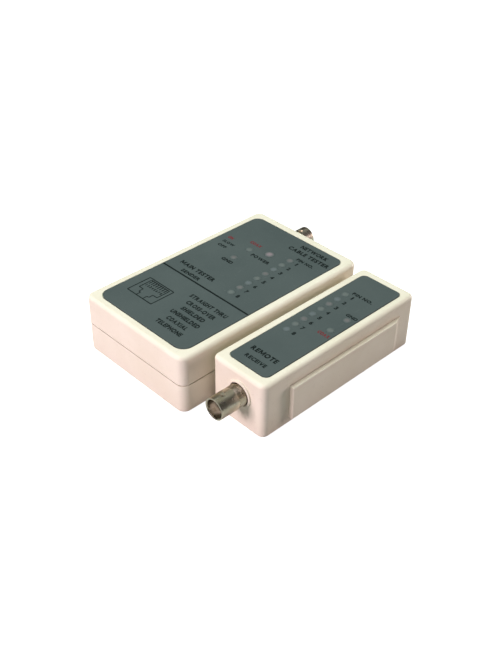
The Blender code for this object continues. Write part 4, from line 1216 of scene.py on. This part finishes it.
def add_switch():
    """The grooved knob of the power switch, on a stem that reaches in to the switch body."""
    low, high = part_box("main_switch_knob")
    wall = main_extent()[0].x + WALL - GAP
    middle = (low + high) / 2
    half_y = 1.2 * MM
    half_z = 1.0 * MM
    cap = boxes((low, (wall, high.y, high.z)))
    stem_low = (wall - MM, middle.y - half_y, middle.z - half_z)
    stem = boxes((stem_low, (high.x, middle.y + half_y, middle.z + half_z)))
    grooves = []
    count = 4
    for index in range(count):
        y = low.y + (high.y - low.y) * (index + 0.5) / count
        grooves.append(standing(0.32 * MM, (low.x, y), low.z - MM, high.z + MM))
    mesh = combined(cap, *joins(stem), *cuts(rods(*grooves, steps=24)))
    add_piece(
        "switch_slider", mesh, BLACK, "power_knob", "main_switch_knob", MOULDED_EDGE
    )


# ---------------------------------------------------------------- remote casing


def remote_extent():
    """The plain outer box of the remote casing, without its collar and rail."""
    low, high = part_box("remote_case")
    middle = centre_of("remote_bottom_cover")
    return Vector((low.x, 2 * middle.y - high.y, 0.0)), Vector((2 * middle.x - low.x, high.y, high.z))


def rail_block():
    """The rail along the right side: a flat ledge on top, an eased rim and a sloping far end."""
    low, high = remote_extent()
    near = low.y + RAIL_NEAR_INSET
    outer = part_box("remote_case")[1].x
    bm = bmesh.new()
    box_into(bm, (high.x - RAIL_ROOT, near, RAIL_LOW_Z), (outer, near + RAIL_LENGTH, RAIL_HIGH_Z))
    outer_verts = [vert for vert in bm.verts if vert.co.x > high.x]
    for vert in outer_verts:
        if vert.co.y > near + MM:
            vert.co.y -= RAIL_FAR_SLOPE
    rim = [edge for edge in bm.edges if all(vert in outer_verts for vert in edge.verts)]
    bmesh.ops.bevel(bm, geom=rim, offset=RAIL_EDGE, segments=4, profile=0.38, affect="EDGES")
    return mesh_from("rail", bm)


def add_remote_case():
    """The shell, open below, and the cover that closes it."""
    low, high = remote_extent()
    collar, opening = socket_cutters("remote", -1)
    places, heads, shafts = screw_cutters("remote", 2)
    cover_low, cover_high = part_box("remote_bottom_cover")
    wall = Vector((REMOTE_WALL, REMOTE_WALL, 0))
    inner_low = low + wall - Vector((0, 0, MM))
    inner_high = high - wall - Vector((0, 0, REMOTE_ROOF))
    corner = REMOTE_CORNER - REMOTE_WALL
    posts = [standing(REMOTE_POST_RADIUS, place, cover_high.z + GAP, inner_high.z + MM) for place in places]
    case = combined(
        rounded_block(low, high, REMOTE_CORNER, TOP_EDGE, BOTTOM_EDGE, 14),
        *joins(rail_block(), collar),
        *cuts(rounded_block(inner_low, inner_high, corner)),
        *joins(rods(*posts)),
        *cuts(shafts, opening, jack_opening("remote"), recess_mesh("remote", REMOTE_LABEL_CORNERS)),
        *cuts(lamp_bores("remote", REMOTE_LAMPS, high.z)),
    )
    add_piece("remote_shell", case, IVORY, "remote", "remote_case", EASED)

    plate_high = (cover_high.x, cover_high.y, cover_low.z + COVER_THICKNESS)
    bosses = [standing(BOSS_RADIUS, place, MM, cover_high.z) for place in places]
    cover = combined(
        rounded_block(cover_low, plate_high, corner - GAP),
        *joins(rods(*bosses)),
        *cuts(heads, shafts),
    )
    node = "remote_bottom_cover"
    add_piece("remote_base_plate", cover, IVORY, "remote", node, MOULDED_EDGE)


# ---------------------------------------------------------------- pieces kept from the frame


def finish_frame_nodes():
    """Gives the frame's own inside pieces their finishes."""
    finishes = {
        "board": BOARD,
        "battery_wrap": JACKET,
        "steel": STEEL,
        "black_plastic": BLACK,
        "red_wire": RED_WIRE,
        "black_wire": BLACK_WIRE,
        "gold": GOLD,
        "insulator": INSULATOR,
        "nickel": NICKEL,
        "case_plastic": IVORY,
        "overlay": FILM,
        "lamp_lens": LENSES[0],
    }
    for part in frame["record"]["subparts"]:
        obj = frame["nodes"][part["node"]]
        obj.data.materials.clear()
        obj.data.materials.append(finishes[part["material_slot"]])


# ---------------------------------------------------------------- stage, light and camera

FLOOR_HALF = 3.0  # metres
FLOOR_GLOW = 1.0
LIGHTS = (
    # name, direction from the object, distance, size, power in watts, colour, seen in reflections
    ("key", (-0.10, -0.86, 0.38), 1.2, 0.38, 11.7, (1.0, 0.83, 0.91), False),
    ("glint", (-0.10, -0.86, 0.38), 1.2, 0.60, 2.2, (1.0, 0.83, 0.91), True),
    ("overhead", (-0.28, 0.10, 1.0), 1.2, 0.7, 11.2, (0.76, 0.97, 0.88), False),
    ("sheen", (-0.26, 0.10, 1.0), 1.2, 1.6, 2.8, (0.95, 1.0, 0.90), True),
    ("back", (0.40, 0.90, 0.15), 1.4, 0.35, 10.9, (1.0, 0.82, 0.82), True),
)
AMBIENT = 0.06
BACKDROP = 1.2


def add_stage():
    """A plain pale floor that fills the view. Only the camera sees its glow, which makes it white."""
    bm = bmesh.new()
    box_into(bm, (-FLOOR_HALF, -FLOOR_HALF, -0.02), (FLOOR_HALF, FLOOR_HALF, 0.0))
    floor = object_from("floor", mesh_from("floor", bm))
    material, tree, shader = new_material("pale_floor")
    tone = blend_colours(tree, noise(tree, 3.0), (0.46, 0.46, 0.455), (0.445, 0.445, 0.44))
    seen = add_node(tree, "ShaderNodeLightPath").outputs["Is Camera Ray"]
    glow = math_node(tree, "MULTIPLY", seen, FLOOR_GLOW)
    feed(tree, shader, Base_Color=tone, Roughness=0.7, Specular_IOR_Level=0.2)
    feed(tree, shader, Emission_Color=(1.0, 1.0, 1.0), Emission_Strength=glow)
    floor.data.materials.append(material)


def add_lights():
    """Soft boxes aimed at the middle of the two units."""
    target = Vector((15 * MM, 0.0, 10 * MM))
    for name, direction, distance, size, power, colour, reflected in LIGHTS:
        light = bpy.data.lights.new(name, "AREA")
        light.shape = "SQUARE"
        light.size = size
        light.energy = power
        light.color = colour
        obj = object_from(name, light)
        direction = Vector(direction).normalized()
        obj.location = target + distance * direction
        obj.rotation_euler = (-direction).to_track_quat("-Z", "Y").to_euler()
        obj.visible_glossy = reflected


def add_world():
    """A weak even light from all round, and a white backdrop that only the camera sees."""
    world = bpy.data.worlds.new("studio")
    bpy.context.scene.world = world
    world.use_nodes = True
    tree = world.node_tree
    background = tree.nodes["Background"]
    seen = add_node(tree, "ShaderNodeLightPath").outputs["Is Camera Ray"]
    strength = remap(tree, seen, 0.0, 1.0, AMBIENT, BACKDROP)
    feed(tree, background, Color=(1.0, 1.0, 1.0), Strength=strength)


def add_camera():
    """The camera stands near the right front corner and looks down at the two units."""
    camera = bpy.data.cameras.new("camera")
    camera.sensor_fit = "AUTO"
    camera.sensor_width = 36.0
    camera.lens = 52.37
    camera.clip_start = 0.01
    camera.clip_end = 20.0
    obj = object_from("camera", camera)
    obj.location = (247.93 * MM, -230.03 * MM, 252.66 * MM)
    yaw = math.radians(45.272)
    pitch = math.radians(36.538)
    roll = math.radians(-0.953)
    turn = Matrix.Rotation(yaw, 4, "Z") @ Matrix.Rotation(math.radians(90) - pitch, 4, "X")
    obj.rotation_euler = (turn @ Matrix.Rotation(-roll, 4, "Z")).to_euler()
    bpy.context.scene.camera = obj


def set_colour_response():
    view = bpy.context.scene.view_settings
    view.view_transform = "Standard"
    view.look = "None"
    view.exposure = 0.0
    view.gamma = 1.0


# ---------------------------------------------------------------- assembly

finish_frame_nodes()
add_main_case()
add_overlay("main", MAIN_LABEL_CORNERS, MAIN_LAMPS)
add_lamps("main", MAIN_LAMPS)
add_coax_socket("main", 1)
add_jack("main")
add_screws("main", 4)
add_battery_door()
add_switch()
add_print("main", MAIN_DARK, MAIN_RED, 4.2)

add_remote_case()
add_overlay("remote", REMOTE_LABEL_CORNERS, REMOTE_LAMPS)
add_lamps("remote", REMOTE_LAMPS)
add_coax_socket("remote", -1)
add_jack("remote")
add_screws("remote", 2)
add_print("remote", REMOTE_DARK, REMOTE_RED, 4.0)

add_stage()
add_lights()
add_world()
add_camera()
set_colour_response()
